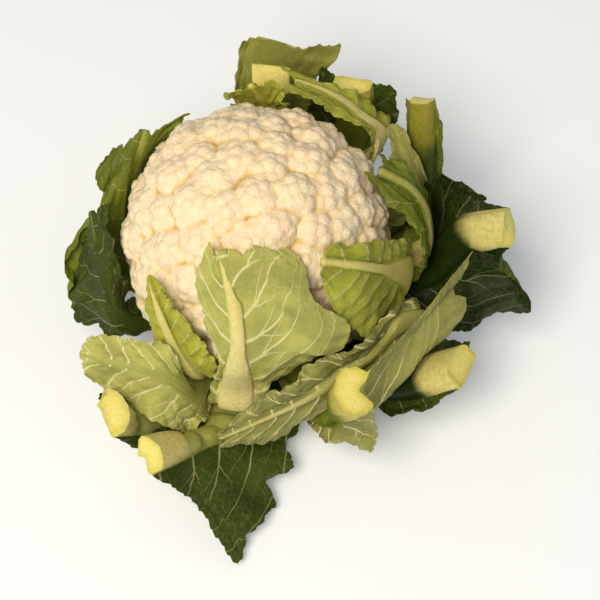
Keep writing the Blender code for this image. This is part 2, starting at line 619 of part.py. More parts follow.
def untangled(leaf, sheet, faces, tree):
    """The sheet with its points moved until its triangles cross neither each other nor what is built."""
    count = sheet.shape[0] * sheet.shape[1]
    corners = [set(face) for face in faces.tolist()]
    for _ in range(PARTING_ROUNDS):
        own = tree_of([(leaf_points(leaf, sheet), faces)])
        against = {pair[1] for pair in tree.overlap(own)}
        folded = {pair[0] for pair in own.overlap(own) if not corners[pair[0]] & corners[pair[1]]}
        if not against and not folded:
            break
        move = np.zeros(count)
        move[touched_points(against, faces, count)] = PARTING_STEP
        sheet = moved_out(sheet, move.reshape(sheet.shape[:2]))
        sheet = relaxed(sheet, touched_points(folded, faces, count))
    return sheet


def build_leaves(solids):
    for leaf in LEAVES:
        tree = tree_of(solids)
        sheet = leaf_sheet(leaf, LEAF_ROWS)
        inner = rib_sizes(leaf, np.linspace(0.0, 1.0, LEAF_ROWS + 1))[2]
        sheet = settle(sheet, np.repeat(inner[:, None], sheet.shape[1], axis=1), tree)
        faces = leaf_faces(*sheet.shape[:2])
        sheet = untangled(leaf, sheet, faces, tree)
        points = leaf_points(leaf, sheet)
        add_object(leaf.name, points, faces, RING_COLOURS[leaf.base[1]], LEAF_ROUGHNESS, True)
        solids.append((points, faces))


def main():
    clear_scene()
    solids = [build_curd(), build_stem()]
    build_leaves(solids)


main()
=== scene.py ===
# %% [markdown]
# # A cauliflower, piece by piece
#
# A trimmed cauliflower stands on the cut face of its stem. A cream curd of florets sits in a nest of green
# leaves, whose thick pale ribs were cut through when the head was harvested. The head is already there as
# plain solids. This lesson dresses them: each solid is replaced by a finer surface of the same form, with a
# finish of its own. Everything stays in the frame of the solids: metres, +Z up, the origin under the stem.

# %% Load the solids
import math
from collections import namedtuple

import bpy
import numpy as np
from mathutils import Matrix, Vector
from mathutils.bvhtree import BVHTree


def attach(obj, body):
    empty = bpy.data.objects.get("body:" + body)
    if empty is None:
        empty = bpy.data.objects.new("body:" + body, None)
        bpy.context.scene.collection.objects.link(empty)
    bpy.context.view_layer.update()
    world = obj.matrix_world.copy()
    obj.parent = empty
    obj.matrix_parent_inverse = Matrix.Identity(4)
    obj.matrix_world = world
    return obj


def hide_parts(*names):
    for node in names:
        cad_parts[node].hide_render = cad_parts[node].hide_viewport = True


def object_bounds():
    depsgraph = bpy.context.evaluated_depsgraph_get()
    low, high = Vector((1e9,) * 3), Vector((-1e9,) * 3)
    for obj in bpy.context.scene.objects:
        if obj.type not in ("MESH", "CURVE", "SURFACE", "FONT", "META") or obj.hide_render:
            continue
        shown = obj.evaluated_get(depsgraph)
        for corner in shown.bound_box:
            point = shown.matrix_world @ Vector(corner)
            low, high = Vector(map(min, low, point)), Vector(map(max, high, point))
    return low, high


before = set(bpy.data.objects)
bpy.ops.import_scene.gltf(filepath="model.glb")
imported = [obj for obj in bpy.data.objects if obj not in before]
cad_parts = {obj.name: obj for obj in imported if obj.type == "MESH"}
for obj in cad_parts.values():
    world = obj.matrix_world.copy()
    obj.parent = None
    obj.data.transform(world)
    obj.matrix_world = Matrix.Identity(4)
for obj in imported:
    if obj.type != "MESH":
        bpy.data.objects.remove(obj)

MM = 0.001
SOLID_BOX = [list(corner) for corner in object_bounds()]
print("the solids reach from", SOLID_BOX[0], "to", SOLID_BOX[1])

# %% [markdown]
# ## The camera
#
# The photograph looks down at the head from the front, about 58 degrees above the table. A long lens far
# away keeps the curd round, as in the photograph. One named pixel ties the two together: it is where the
# middle of the curd shows, so the camera is aimed beside the curd by the distance of that pixel from the
# middle of the picture.

# %% Place the camera
VIEW_ELEVATION = math.radians(58.0)
VIEW_DISTANCE = 1.1
METRES_PER_PIXEL = 0.596e-3
PHOTO_SIDE = 600
CURD_MIDDLE = Vector((0.0, 0.0, 0.072))
CURD_MIDDLE_PIXEL = (257.0, 243.0)
SENSOR_WIDTH = 36.0


def place_camera():
    """Stands the camera so that the curd's middle falls on its pixel and a pixel spans its real length."""
    towards = Vector((0.0, -math.cos(VIEW_ELEVATION), math.sin(VIEW_ELEVATION)))
    right = Vector((1.0, 0.0, 0.0))
    up = towards.cross(right)
    half = PHOTO_SIDE / 2
    aim = CURD_MIDDLE + right * (half - CURD_MIDDLE_PIXEL[0]) * METRES_PER_PIXEL
    aim -= up * (half - CURD_MIDDLE_PIXEL[1]) * METRES_PER_PIXEL
    lens = bpy.data.cameras.new("Photo_camera")
    lens.sensor_width = SENSOR_WIDTH
    lens.lens = SENSOR_WIDTH * VIEW_DISTANCE / (PHOTO_SIDE * METRES_PER_PIXEL)
    camera = bpy.data.objects.new("Photo_camera", lens)
    camera.location = aim + towards * VIEW_DISTANCE
    camera.rotation_euler = (math.pi / 2 - VIEW_ELEVATION, 0.0, 0.0)
    bpy.context.scene.collection.objects.link(camera)
    bpy.context.scene.camera = camera
    return camera


print("the camera stands at", place_camera().location)

# %% [markdown]
# ## Light and floor
#
# A warm light from the left and front models the curd and leaves the hollows on the right nearly black. It
# is a broad panel, so that its shadows stay soft. A dim white sky fills them a little. The plain standard
# view keeps the warm greens and creams as saturated as they are in the photograph.

# %% Set up the studio
SKY_STRENGTH = 0.30
KEY_COLOUR = (1.0, 0.88, 0.68)
KEY_POWER = 56.0
KEY_SIDE = 1.3
KEY_PLACE = Vector((-0.62, -1.2, 2.05))
FLOOR_SIDE = 6.0
FLOOR_COLOUR = (0.82, 0.88, 0.98)
FLOOR_GLOW = 0.14


def set_up_sky():
    sky = bpy.data.worlds.new("Studio_sky")
    sky.use_nodes = True
    background = sky.node_tree.nodes["Background"]
    background.inputs["Color"].default_value = (1.0, 0.99, 0.97, 1.0)
    background.inputs["Strength"].default_value = SKY_STRENGTH
    bpy.context.scene.world = sky
    bpy.context.scene.view_settings.view_transform = "Standard"


def set_up_key_light():
    panel = bpy.data.lights.new("Key_panel", "AREA")
    panel.energy = KEY_POWER
    panel.color = KEY_COLOUR
    panel.size = KEY_SIDE
    key = bpy.data.objects.new("Key_panel", panel)
    key.location = KEY_PLACE
    key.rotation_euler = (CURD_MIDDLE - KEY_PLACE).to_track_quat("-Z", "Y").to_euler()
    bpy.context.scene.collection.objects.link(key)


set_up_sky()
set_up_key_light()
print("key light", KEY_POWER, "W, sky", SKY_STRENGTH)

# %% [markdown]
# ## Finishes as sums and products
#
# A finish is a small graph of nodes. Wiring it by hand is slow to read, so a wire here can be added,
# multiplied and raised to a power like a number, and each such step places one Math node. Every other node
# comes from one method, which sets the node up first and then feeds its sockets. A colour is never sent
# through a Math node, because that would turn it grey: colours are blended instead.

# %% Wires and finishes
class Wire:
    """An output of one node. Sums, differences, products and powers of wires add Math nodes."""

    def __init__(self, finish, socket):
        self.finish = finish
        self.socket = socket

    def maths(self, operation, left, right):
        return self.finish.add("Math", {"operation": operation}, {0: left, 1: right})

    def __add__(self, other):
        return self.maths("ADD", self, other)

    def __sub__(self, other):
        return self.maths("SUBTRACT", self, other)

    def __rsub__(self, other):
        return self.maths("SUBTRACT", other, self)

    def __mul__(self, other):
        return self.maths("MULTIPLY", self, other)

    def __pow__(self, other):
        return self.maths("POWER", self, other)

    __radd__ = __add__
    __rmul__ = __mul__


class Finish:
    """A material, with its constants on the shader's own sockets and its patterns wired in."""

    def __init__(self, name, constants):
        self.material = bpy.data.materials.new(name)
        self.material.use_nodes = True
        self.tree = self.material.node_tree
        self.shader = self.tree.nodes["Principled BSDF"]
        for socket, value in constants.items():
            self.feed(self.shader.inputs[socket], value)
        self.place = self.add("TexCoord", output="Object")

    def feed(self, socket, value):
        if isinstance(value, Wire):
            self.tree.links.new(value.socket, socket)
        elif socket.type == "RGBA":
            socket.default_value = (*value, 1.0)
        else:
            socket.default_value = value

    def add(self, kind, settings=None, sockets=None, output=0):
        node = self.tree.nodes.new("ShaderNode" + kind)
        for name, value in (settings or {}).items():
            setattr(node, name, value)
        for key, value in (sockets or {}).items():
            self.feed(node.inputs[key], value)
        return Wire(self, node.outputs[output])

    def field(self, name):
        """A number kept on each point of the mesh."""
        return self.add("Attribute", {"attribute_name": name}, output="Fac")

    def noise(self, cell_mm, detail=2.0, spread=0.5):
        """Cloudy noise between 0 and 1 whose blots are about so many millimetres across."""
        sockets = {"Vector": self.place, "Scale": 1.0 / (cell_mm * MM), "Detail": detail, "Roughness": spread}
        return self.add("TexNoise", None, sockets)

    def blend(self, share, colour, other):
        """The first colour where the share is 0 and the other where it is 1."""
        return self.add("Mix", {"data_type": "RGBA"}, {0: share, 6: colour, 7: other}, output=2)

    def stretch(self, value, low, high, start=0.0, end=1.0):
        """The value carried from one range to another, and held at its ends."""
        sockets = {0: value, 1: low, 2: high, 3: start, 4: end}
        return self.add("MapRange", {"interpolation_type": "SMOOTHSTEP"}, sockets)

    def largest(self, one, other):
        return self.add("Math", {"operation": "MAXIMUM"}, {0: one, 1: other})

    def relief(self, height, distance_mm, strength=1.0):
        sockets = {"Height": height, "Distance": distance_mm * MM, "Strength": strength}
        self.feed(self.shader.inputs["Normal"], self.add("Bump", None, sockets))


# %% [markdown]
# The floor is a plain pale sheet with the faintest mottling, wide enough to fill the view. It glows a
# little, as a sheet does that is lit from below, which keeps the shadow on it faint.

# %% Lay the floor
def floor_finish():
    glow = {"Emission Color": (0.9, 0.95, 1.0), "Emission Strength": FLOOR_GLOW}
    finish = Finish("Pale_floor", {**glow, "Roughness": 0.9, "Specular IOR Level": 0.1})
    shade = finish.noise(120.0)
    paler = tuple(0.99 * part for part in FLOOR_COLOUR)
    finish.feed(finish.shader.inputs["Base Color"], finish.blend(shade, FLOOR_COLOUR, paler))
    return finish.material


def lay_floor():
    half = FLOOR_SIDE / 2
    mesh = bpy.data.meshes.new("Studio_floor")
    corners = [(-half, -half, 0.0), (half, -half, 0.0), (half, half, 0.0), (-half, half, 0.0)]
    mesh.from_pydata(corners, [], [(0, 1, 2, 3)])
    mesh.materials.append(floor_finish())
    floor = bpy.data.objects.new("Studio_floor", mesh)
    bpy.context.scene.collection.objects.link(floor)


lay_floor()
print("the floor is", FLOOR_SIDE, "m wide")

# %% [markdown]
# ## From arrays to a piece
#
# Every surface below is worked out as whole arrays of points in millimetres. One function turns such arrays
# into a mesh, keeps named numbers on its points for the finishes, and hides the solid that it stands for. An
# angle limit keeps the edges of cut faces sharp while everything else is shaded smoothly.

# %% Make a mesh from arrays
SHARP_ANGLE = math.radians(52.0)


def add_piece(name, points, faces, finish, node, fields):
    """One piece from its points in millimetres, its faces as rows of corners, and a number per point."""
    mesh = bpy.data.meshes.new(name)
    corners = faces.shape[1]
    mesh.vertices.add(len(points))
    mesh.vertices.foreach_set("co", (points * MM).astype(np.float32).ravel())
    mesh.loops.add(faces.size)
    mesh.loops.foreach_set("vertex_index", faces.astype(np.int32).ravel())
    mesh.polygons.add(len(faces))
    mesh.polygons.foreach_set("loop_start", np.arange(0, faces.size, corners, dtype=np.int32))
    mesh.update(calc_edges=True)
    mesh.polygons.foreach_set("use_smooth", np.ones(len(faces), bool))
    mesh.set_sharp_from_angle(angle=SHARP_ANGLE)
    for field, values in fields.items():
        layer = mesh.attributes.new(field, "FLOAT", "POINT")
        layer.data.foreach_set("value", np.asarray(values, np.float32).ravel())
    mesh.materials.append(finish)
    piece = bpy.data.objects.new(name, mesh)
    bpy.context.scene.collection.objects.link(piece)
    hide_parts(node)
    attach(piece, "root")
    print(name, len(points), "points,", len(faces) * (corners - 2), "triangles")
    return piece


def grid_faces(number):
    """Four-cornered faces between neighbouring entries of a grid of point numbers."""
    corners = (number[:-1, :-1], number[1:, :-1], number[1:, 1:], number[:-1, 1:])
    return np.stack(corners, axis=-1).reshape(-1, 4)


print("faces that meet at more than", round(math.degrees(SHARP_ANGLE)), "degrees keep a sharp edge")


# %% [markdown]
# ## The curd
#
# The curd is a dome of florets, each floret a knob of buds, and each bud a cluster of grains 2 to 3 mm
# across. It could be sculpted, or grown from thousands of little balls. Here it is one skin: along each
# direction from the curd's middle, the skin lies on the outermost ball. The balls of the florets and buds
# are those of the solid, and the grains are new. Where two balls meet, the skin has the sharp narrow
# crevice that the real curd has.

# %% Balls of the curd
GOLDEN_ANGLE = math.pi * (3.0 - math.sqrt(5.0))
CURD_CENTRE = np.array([0.0, 0.0, 75.0])  # mm, the middle of the dome
CURD_CORE_RADIUS = 64.0  # solid heart under the florets
CURD_BASE_HEIGHT = 46.0  # flat underside, over the stem
CURD_BASE_RADIUS = 24.0
CURD_BASE_SLOPE = 0.3  # rise of the underside outwards
FLORET_COUNT = 116
FLORET_RADIUS = 15.0
FLORET_SIZES = (0.82, 1.15)  # smallest and largest, as shares of the radius
FLORET_HEIGHTS = (-3.5, 0.5)  # how far florets stand in or out of the outline
FLORET_JITTER = 0.6
FLORET_LOWEST = math.radians(116.0)  # polar angle of the lowest florets
CURD_OUTLINE = 82.5
BUDS_PER_FLORET = 13
BUD_RADIUS = 5.2
BUD_SIZES = (0.85, 1.15)
BUD_SUNK = 0.48  # share of a bud's radius that its middle lies under the floret's skin
BUD_SPREAD = math.radians(60.0)  # how far round a floret its buds reach
BUD_JITTER = 0.5
CURD_SEED = 7

def spread_directions(count, lowest, jitter, rng):
    """Directions spread evenly by the golden angle from straight up down to a lowest polar angle."""
    steps = (np.arange(count) + 0.5) / count
    upright = 1.0 - steps * (1.0 - math.cos(lowest)) + rng.normal(0.0, jitter / count, count)
    upright = np.clip(upright, math.cos(lowest), 1.0)
    turn = np.arange(count) * GOLDEN_ANGLE + rng.normal(0.0, jitter / math.sqrt(count), count)
    level = np.sqrt(1.0 - upright**2)
    return np.column_stack([level * np.cos(turn), level * np.sin(turn), upright])


def frame_about(direction):
    """Two unit vectors square to a direction."""
    helper = np.array([1.0, 0.0, 0.0]) if abs(direction[2]) > 0.9 else np.array([0.0, 0.0, 1.0])
    first = np.cross(helper, direction)
    first /= np.linalg.norm(first)
    return first, np.cross(direction, first)


def floret_balls():
    """Centre (from the curd's centre) and radius of each floret, then of each bud on the florets."""
    rng = np.random.default_rng(CURD_SEED)
    directions = spread_directions(FLORET_COUNT, FLORET_LOWEST, FLORET_JITTER, rng)
    radii = FLORET_RADIUS * rng.uniform(*FLORET_SIZES, FLORET_COUNT)
    outline = CURD_OUTLINE + rng.uniform(*FLORET_HEIGHTS, FLORET_COUNT)
    centres = directions * (outline - radii - BUD_RADIUS * (1.0 - BUD_SUNK))[:, None]
    bud_centres = []
    bud_radii = []
    for direction, centre, radius in zip(directions, centres, radii):
        first, second = frame_about(direction)
        local = spread_directions(BUDS_PER_FLORET, BUD_SPREAD, BUD_JITTER, rng)
        spin = rng.uniform(0.0, 2.0 * math.pi)
        east = local[:, 0] * math.cos(spin) - local[:, 1] * math.sin(spin)
        north = local[:, 0] * math.sin(spin) + local[:, 1] * math.cos(spin)
        outward = east[:, None] * first + north[:, None] * second + local[:, 2:] * direction
        size = BUD_RADIUS * rng.uniform(*BUD_SIZES, BUDS_PER_FLORET)
        bud_centres.append(centre + outward * (radius - size * BUD_SUNK)[:, None])
        bud_radii.append(size)
    return centres, radii, np.vstack(bud_centres), np.concatenate(bud_radii)


def core_reach(directions):
    """Distance from the curd's centre to its plain heart: a ball cut off below by a shallow cone."""
    down = np.maximum(-directions[:, 2], 1e-6)
    level = np.sqrt(np.maximum(1.0 - directions[:, 2] ** 2, 0.0))
    drop = CURD_CENTRE[2] - CURD_BASE_HEIGHT
    flat = drop / down
    cone = (drop + CURD_BASE_SLOPE * CURD_BASE_RADIUS) / (down + CURD_BASE_SLOPE * level)
    return np.minimum(np.minimum(flat, cone), CURD_CORE_RADIUS)


def ball_reach(directions, centres, radii):
    """Distance from the curd's centre to the far side of the outermost ball along each direction."""
    along = directions @ centres.T
    inside = along**2 + radii**2 - np.sum(centres**2, axis=1)
    reach = np.where(inside > 0.0, along + np.sqrt(np.maximum(inside, 0.0)), 0.0)
    return reach.max(axis=1)


FLORETS = floret_balls()
print(len(FLORETS[0]), "florets with", len(FLORETS[2]), "buds")

# %% [markdown]
# A square grid is bent over the dome so that its rings become circles of equal height. That keeps its cells
# nearly square everywhere and leaves no pole on top, where it would show. The inner rings are closer
# together, because the leaves hide the lower part of the curd.

# %% Grid over the dome
DOME_CELLS = 306
FINE_RING = 0.87  # rings within this share of the square take the finer part of the dome
FINE_POLAR = math.radians(80.0)
DOME_POLAR = math.radians(121.0)
UNDERSIDE_POLARS = (128.0, 140.0, 158.0)


def dome_polars(ring):
    """Polar angle of each ring: equal areas down to one angle, then evenly on to the lowest florets."""
    fine = np.arccos(1.0 - np.minimum(ring / FINE_RING, 1.0) ** 2 * (1.0 - math.cos(FINE_POLAR)))
    past = np.maximum(ring - FINE_RING, 0.0) / (1.0 - FINE_RING)
    return fine + past * (DOME_POLAR - FINE_POLAR)


def dome_directions():
    """Square to disc: a quarter of the square becomes a quarter of the disc, its lines become spokes."""
    side = np.linspace(-1.0, 1.0, DOME_CELLS + 1)
    x, y = np.meshgrid(side, side, indexing="ij")
    wide = np.abs(x) >= np.abs(y)
    reach = np.where(wide, x, y)
    share = np.where(wide, y, x) / np.where(reach == 0.0, 1.0, reach)
    turn = np.where(wide, math.pi / 4 * share, math.pi / 2 - math.pi / 4 * share)
    polar = dome_polars(np.abs(reach))
    level = np.sin(polar) * np.sign(reach)
    return np.stack([level * np.cos(turn), level * np.sin(turn), np.cos(polar)], axis=-1)


DOME = dome_directions()
print("the dome has", DOME.shape[0] ** 2, "directions")

# %% [markdown]
# The grains sit on the buds, sunk in so far that only a low cap of each shows. Their balls number many
# thousands, so each floret is measured only along the directions that pass near it.

# %% Reach of the skin
GRAINS_PER_BUD = 17
GRAIN_RADIUS = 1.6
GRAIN_SPREAD = math.radians(86.0)
GRAIN_SUNK = 0.76  # share of a grain's radius that is inside its bud
FLORET_FULLER = 1.1  # mm by which the florets swell between their buds
FLORET_REACH = math.radians(21.0)
GRAIN_SEED = 11


def grains_of(centre, radii, buds, rng):
    """Balls of the grains on some buds: spread over the side of each bud that faces away from its floret."""
    found = []
    sizes = []
    for bud, radius in zip(buds, radii):
        outward = (bud - centre) / np.linalg.norm(bud - centre)
        first, second = frame_about(outward)
        local = spread_directions(GRAINS_PER_BUD, GRAIN_SPREAD, 0.5, rng)
        leaning = local[:, :1] * first + local[:, 1:2] * second + local[:, 2:] * outward
        size = GRAIN_RADIUS * rng.uniform(0.8, 1.15, GRAINS_PER_BUD)
        found.append(bud + leaning * (radius - size * GRAIN_SUNK)[:, None])
        sizes.append(size)
    return np.vstack(found), np.concatenate(sizes)


def skin_reach(directions):
    """Distance to the skin along each direction: the farthest of heart, florets, buds and grains."""
    centres, radii, buds, bud_radii = FLORETS
    rng = np.random.default_rng(GRAIN_SEED)
    reach = np.maximum(core_reach(directions), ball_reach(directions, centres, radii + FLORET_FULLER))
    per = BUDS_PER_FLORET
    for index, centre in enumerate(centres):
        own = slice(index * per, (index + 1) * per)
        grains, sizes = grains_of(centre, bud_radii[own], buds[own], rng)
        near = directions @ (centre / np.linalg.norm(centre)) > math.cos(FLORET_REACH)
        balls = np.vstack([buds[own], grains])
        sizes = np.concatenate([bud_radii[own], sizes])
        reach[near] = np.maximum(reach[near], ball_reach(directions[near], balls, sizes))
    return reach


dome_reach = skin_reach(DOME.reshape(-1, 3)).reshape(DOME.shape[:2])
print("the skin lies %.1f to %.1f mm from the curd's middle" % (dome_reach.min(), dome_reach.max()))

# %% [markdown]
# Crevices are painted darker and more yellow than the tips, partly with the curd's own yellow and partly as
# painted shade, so the finish needs to know how deep each point lies.
# The reach is smoothed over the grid by averaging neighbours again and again, and a point is as deep as it
# lies below that smooth skin. A narrow average finds the gaps between grains, a wide one those between
# florets.

# %% Depth of the crevices
TIP_CLEARANCE = 0.05  # mm that the skin stays below the solid's highest point
CREVICE_EASE = 0.4  # share of a wide crevice's depth that is filled
BUD_EASE = 0.15  # share of the relief of buds and grains that is smoothed away
WIDE_ROUNDS = 60  # rounds of averaging for the skin over florets, over buds and over grains
BUD_ROUNDS = 10
FINE_ROUNDS = 6
WIDE_SHIFT = 0.2  # mm above the wide average, where a point begins to count as deep
WIDE_DEPTH = 3.2  # mm from there down to full depth
FINE_DEPTH = 0.4  # mm from the fine average down to full depth


def averaged(values, rounds):
    """Each entry becomes the mean of itself and its four neighbours, so many times."""
    for _ in range(rounds):
        padded = np.pad(values, 1, mode="edge")
        around = padded[:-2, 1:-1] + padded[2:, 1:-1] + padded[1:-1, :-2] + padded[1:-1, 2:]
        values = (values + around) / 5.0
    return values


wide_skin = averaged(dome_reach, WIDE_ROUNDS)
large_depth = np.clip((wide_skin + WIDE_SHIFT - dome_reach) / WIDE_DEPTH, 0.0, 1.0)
dome_reach += CREVICE_EASE * np.maximum(wide_skin - dome_reach, 0.0)
dome_reach += BUD_EASE * (averaged(dome_reach, BUD_ROUNDS) - dome_reach)
small_depth = np.clip((averaged(dome_reach, FINE_ROUNDS) - dome_reach) / FINE_DEPTH, 0.0, 1.0)
print("mean depth of small and large crevices: %.2f and %.2f" % (small_depth.mean(), large_depth.mean()))

# %% [markdown]
# The finish starts from warm cream. Noise shifts it a little towards pink and towards yellow, crevices
# turn it a darker ochre, partly the curd's own yellow and partly painted shade, and a waxy glow comes from
# light that travels some way below the skin. Fine bump gives the velvety surface of the grains, and thin
# yellow lines, partly painted shade, follow the edges between the smallest of them.

# %% Finish of the curd
CREAM = (0.89, 0.78, 0.58)
ROSY_CREAM = (0.89, 0.74, 0.57)
YELLOW_CREAM = (0.89, 0.75, 0.45)
# The crevice yellow and the ochre are darker than the cream: partly the curd's own yellow, partly painted
# shade in the crevices.
SHADED_CREVICE_YELLOW = (0.80, 0.60, 0.24)
SHADED_OCHRE = (0.62, 0.40, 0.11)
GRAIN_CELL = 2.1  # mm
ROSY_CELL = 22.0  # mm
YELLOW_CELL = 9.0  # mm
YELLOW_SHARE = 0.5
# Strengths of the darker yellow on the lines between grains and in fine and deep crevices: partly the curd's
# own yellow, partly painted shade.
LINE_TINT_AND_SHADE = (0.16, 0.3)  # strength of the lines between grains, and more of it in crevices
FINE_TINT_AND_SHADE = 0.6
DEEP_TINT_AND_SHADE = 0.85


def curd_finish():
    glow = {"Subsurface Weight": 0.22, "Subsurface Scale": 0.004, "Subsurface Radius": (1.0, 0.6, 0.3)}
    finish = Finish("Waxy_curd", {**glow, "Specular IOR Level": 0.35})
    rosy = finish.stretch(finish.noise(ROSY_CELL), 0.42, 0.62)
    yellow = finish.stretch(finish.noise(YELLOW_CELL), 0.5, 0.72)
    skin = finish.blend(yellow * YELLOW_SHARE, finish.blend(rosy, CREAM, ROSY_CREAM), YELLOW_CREAM)
    deep = finish.field("large_depth")
    fine = finish.field("small_depth")
    sockets = {"Vector": finish.place, "Scale": 1.0 / (GRAIN_CELL * MM)}
    edges = finish.add("TexVoronoi", {"feature": "DISTANCE_TO_EDGE"}, sockets, "Distance")
    # Lines between grains, fine crevices and deep crevices are painted darker and yellower: partly the curd's
    # own yellow, partly painted shade.
    lines = finish.stretch(edges, 0.0, 0.16, 1.0, 0.0)
    tinted_and_shaded = finish.blend(lines * (LINE_TINT_AND_SHADE[0] + LINE_TINT_AND_SHADE[1] * fine), skin, SHADED_CREVICE_YELLOW)
    tinted_and_shaded = finish.blend(fine ** 1.5 * FINE_TINT_AND_SHADE, tinted_and_shaded, SHADED_CREVICE_YELLOW)
    tinted_and_shaded = finish.blend(deep ** 2.0 * DEEP_TINT_AND_SHADE, tinted_and_shaded, SHADED_OCHRE)
    finish.feed(finish.shader.inputs["Base Color"], tinted_and_shaded)
    finish.feed(finish.shader.inputs["Roughness"], 0.52 + 0.25 * deep)
    rounded = finish.stretch(edges, 0.0, 0.45)
    finish.relief(0.3 * finish.noise(0.9, 3.0) + 0.5 * finish.noise(2.4) + 0.8 * rounded, 0.24)
    return finish.material


def numbered_rings(start, count, rings):
    """Numbers of the points of some rings that follow one another."""
    return start + np.arange(count * rings).reshape(rings, count)


def build_curd():
    """The dome's grid, three rings below it for the flat underside, and a point that closes them."""
    ceiling = SOLID_BOX[1][2] / MM - TIP_CLEARANCE - CURD_CENTRE[2]
    inward = np.minimum(1.0, ceiling / np.maximum(DOME[..., 2] * dome_reach, 1.0))
    dome = CURD_CENTRE + DOME * (dome_reach * inward)[..., None]
    number = np.arange(dome.shape[0] ** 2).reshape(dome.shape[:2])
    edge = np.concatenate([number[-1, :-1], number[:0:-1, -1], number[0, :0:-1], number[:-1, 0]])
    rim = DOME.reshape(-1, 3)[edge]
    spoke = rim[:, :2] / np.linalg.norm(rim[:, :2], axis=1)[:, None]
    polars = np.radians(UNDERSIDE_POLARS)[:, None, None]
    downwards = np.broadcast_to(np.cos(polars), (len(polars), len(edge), 1))
    below = np.concatenate([np.sin(polars) * spoke, downwards], axis=2).reshape(-1, 3)
    below = CURD_CENTRE + below * core_reach(below)[:, None]
    points = np.vstack([dome.reshape(-1, 3), below, [[0.0, 0.0, CURD_BASE_HEIGHT]]])
    ring_numbers = np.vstack([edge, numbered_rings(number.size, len(edge), len(polars))])
    ring_numbers = np.column_stack([ring_numbers, ring_numbers[:, 0]])
    last = ring_numbers[-1]
    pole = np.full(len(edge), len(points) - 1)
    fan = np.stack([last[:-1], pole, pole, last[1:]], axis=1)[:, [0, 1, 3]]
    quads = np.vstack([grid_faces(number), grid_faces(ring_numbers)])
    triangles = np.vstack([quads[:, [0, 1, 2]], quads[:, [0, 2, 3]], fan])
    bare = np.zeros(len(points) - number.size)
    fields = {"small_depth": np.concatenate([small_depth.ravel(), bare]),
              "large_depth": np.concatenate([large_depth.ravel(), bare])}
    return add_piece("Curd_of_florets", points, triangles, curd_finish(), "Curd", fields)


build_curd()

# %% [markdown]
# ## The stem
#
# The stem is a short stub between the flat cut that the head stands on and the curd. It is nearly hidden,
# so it is the solid's own profile carried round with more steps, with shallow ridges where the petioles
# grow. The cut face is paler and moist, with faint clouds.

# %% Profile carried round
STEM_RADIUS = 26.0
STEM_HEIGHT = 45.6
STEM_CUT_RADIUS = 24.5
STEM_RIDGES = 5
STEM_RIDGE_TURN = 0.2  # radians that the ridges turn in a millimetre of height
STEM_RIPPLE = 0.012
STEM_TURNS = 150
STEM_RINGS = 60
STEM_PROFILE = ((0.0, 0.0), (0.0, 12.0), (0.0, STEM_CUT_RADIUS - 0.3), (0.5, STEM_CUT_RADIUS),
                (1.2, STEM_RADIUS - 0.4), (9.0, STEM_RADIUS), (22.5, STEM_RADIUS), (35.0, STEM_RADIUS - 0.6),
                (STEM_HEIGHT - 3.0, STEM_RADIUS - 2.0), (STEM_HEIGHT, STEM_RADIUS - 4.5), (STEM_HEIGHT, 0.0))
CUT_PALE = (0.80, 0.78, 0.50)
STEM_GREEN = (0.52, 0.56, 0.20)


def stem_finish():
    finish = Finish("Moist_stem", {"Subsurface Weight": 0.1, "Subsurface Scale": 0.003})
    face = finish.field("cut")
    skin = finish.blend(finish.noise(6.0, 4.0), STEM_GREEN, (0.62, 0.62, 0.30))
    heart = finish.blend(finish.stretch(finish.noise(3.0, 4.0), 0.4, 0.7), CUT_PALE, (0.70, 0.70, 0.34))
    finish.feed(finish.shader.inputs["Base Color"], finish.blend(face, skin, heart))
    finish.feed(finish.shader.inputs["Roughness"], 0.5 - 0.2 * face)
    finish.relief(finish.noise(1.2, 4.0), 0.3)
    return finish.material


def build_stem():
    """Height and radius run evenly along the profile; a ripple of five waves marks the petioles."""
    heights, radii = np.array(STEM_PROFILE).T
    knots = np.concatenate([[0.0], np.cumsum(np.hypot(np.diff(heights), np.diff(radii)))])
    at = np.union1d(np.linspace(0.0, knots[-1], STEM_RINGS), knots)[1:-1]
    height = np.interp(at, knots, heights)[:, None]
    radius = np.interp(at, knots, radii)[:, None]
    turn = np.linspace(0.0, 2.0 * math.pi, STEM_TURNS, endpoint=False)
    ridges = 1.0 + np.cos(STEM_RIDGES * turn + height * STEM_RIDGE_TURN)
    ripple = radius * (1.0 - STEM_RIPPLE * ridges)
    grid = np.stack([ripple * np.cos(turn), ripple * np.sin(turn), height + 0.0 * turn], axis=-1)
    points = np.vstack([grid.reshape(-1, 3), [[0.0, 0.0, 0.0], [0.0, 0.0, STEM_HEIGHT]]])
    number = np.arange(grid.shape[0] * STEM_TURNS).reshape(-1, STEM_TURNS)
    number = np.column_stack([number, number[:, 0]])
    quads = grid_faces(number)[:, ::-1]
    low = np.column_stack([np.full(STEM_TURNS, len(points) - 2), number[0, 1:], number[0, :-1]])
    high = np.column_stack([np.full(STEM_TURNS, len(points) - 1), number[-1, :-1], number[-1, 1:]])
    triangles = np.vstack([quads[:, [0, 1, 2]], quads[:, [0, 2, 3]], low, high])
    cut = (points[:, 2] < 0.2).astype(float)
    return add_piece("Stem_stub", points, triangles, stem_finish(), "Stem", {"cut": cut})


build_stem()

# %% [markdown]
# ## The leaves: a table of lines
#
# Each leaf is told by three lines in millimetres: its midrib and its two margins. They are the lines of the
# solid leaf. A spline through the points of each line, and straight steps from the rib to each margin, give
# the sheet of the leaf. The first two points of each line are the petiole, which comes from the azimuth and
# the ring of the leaf on the stem.

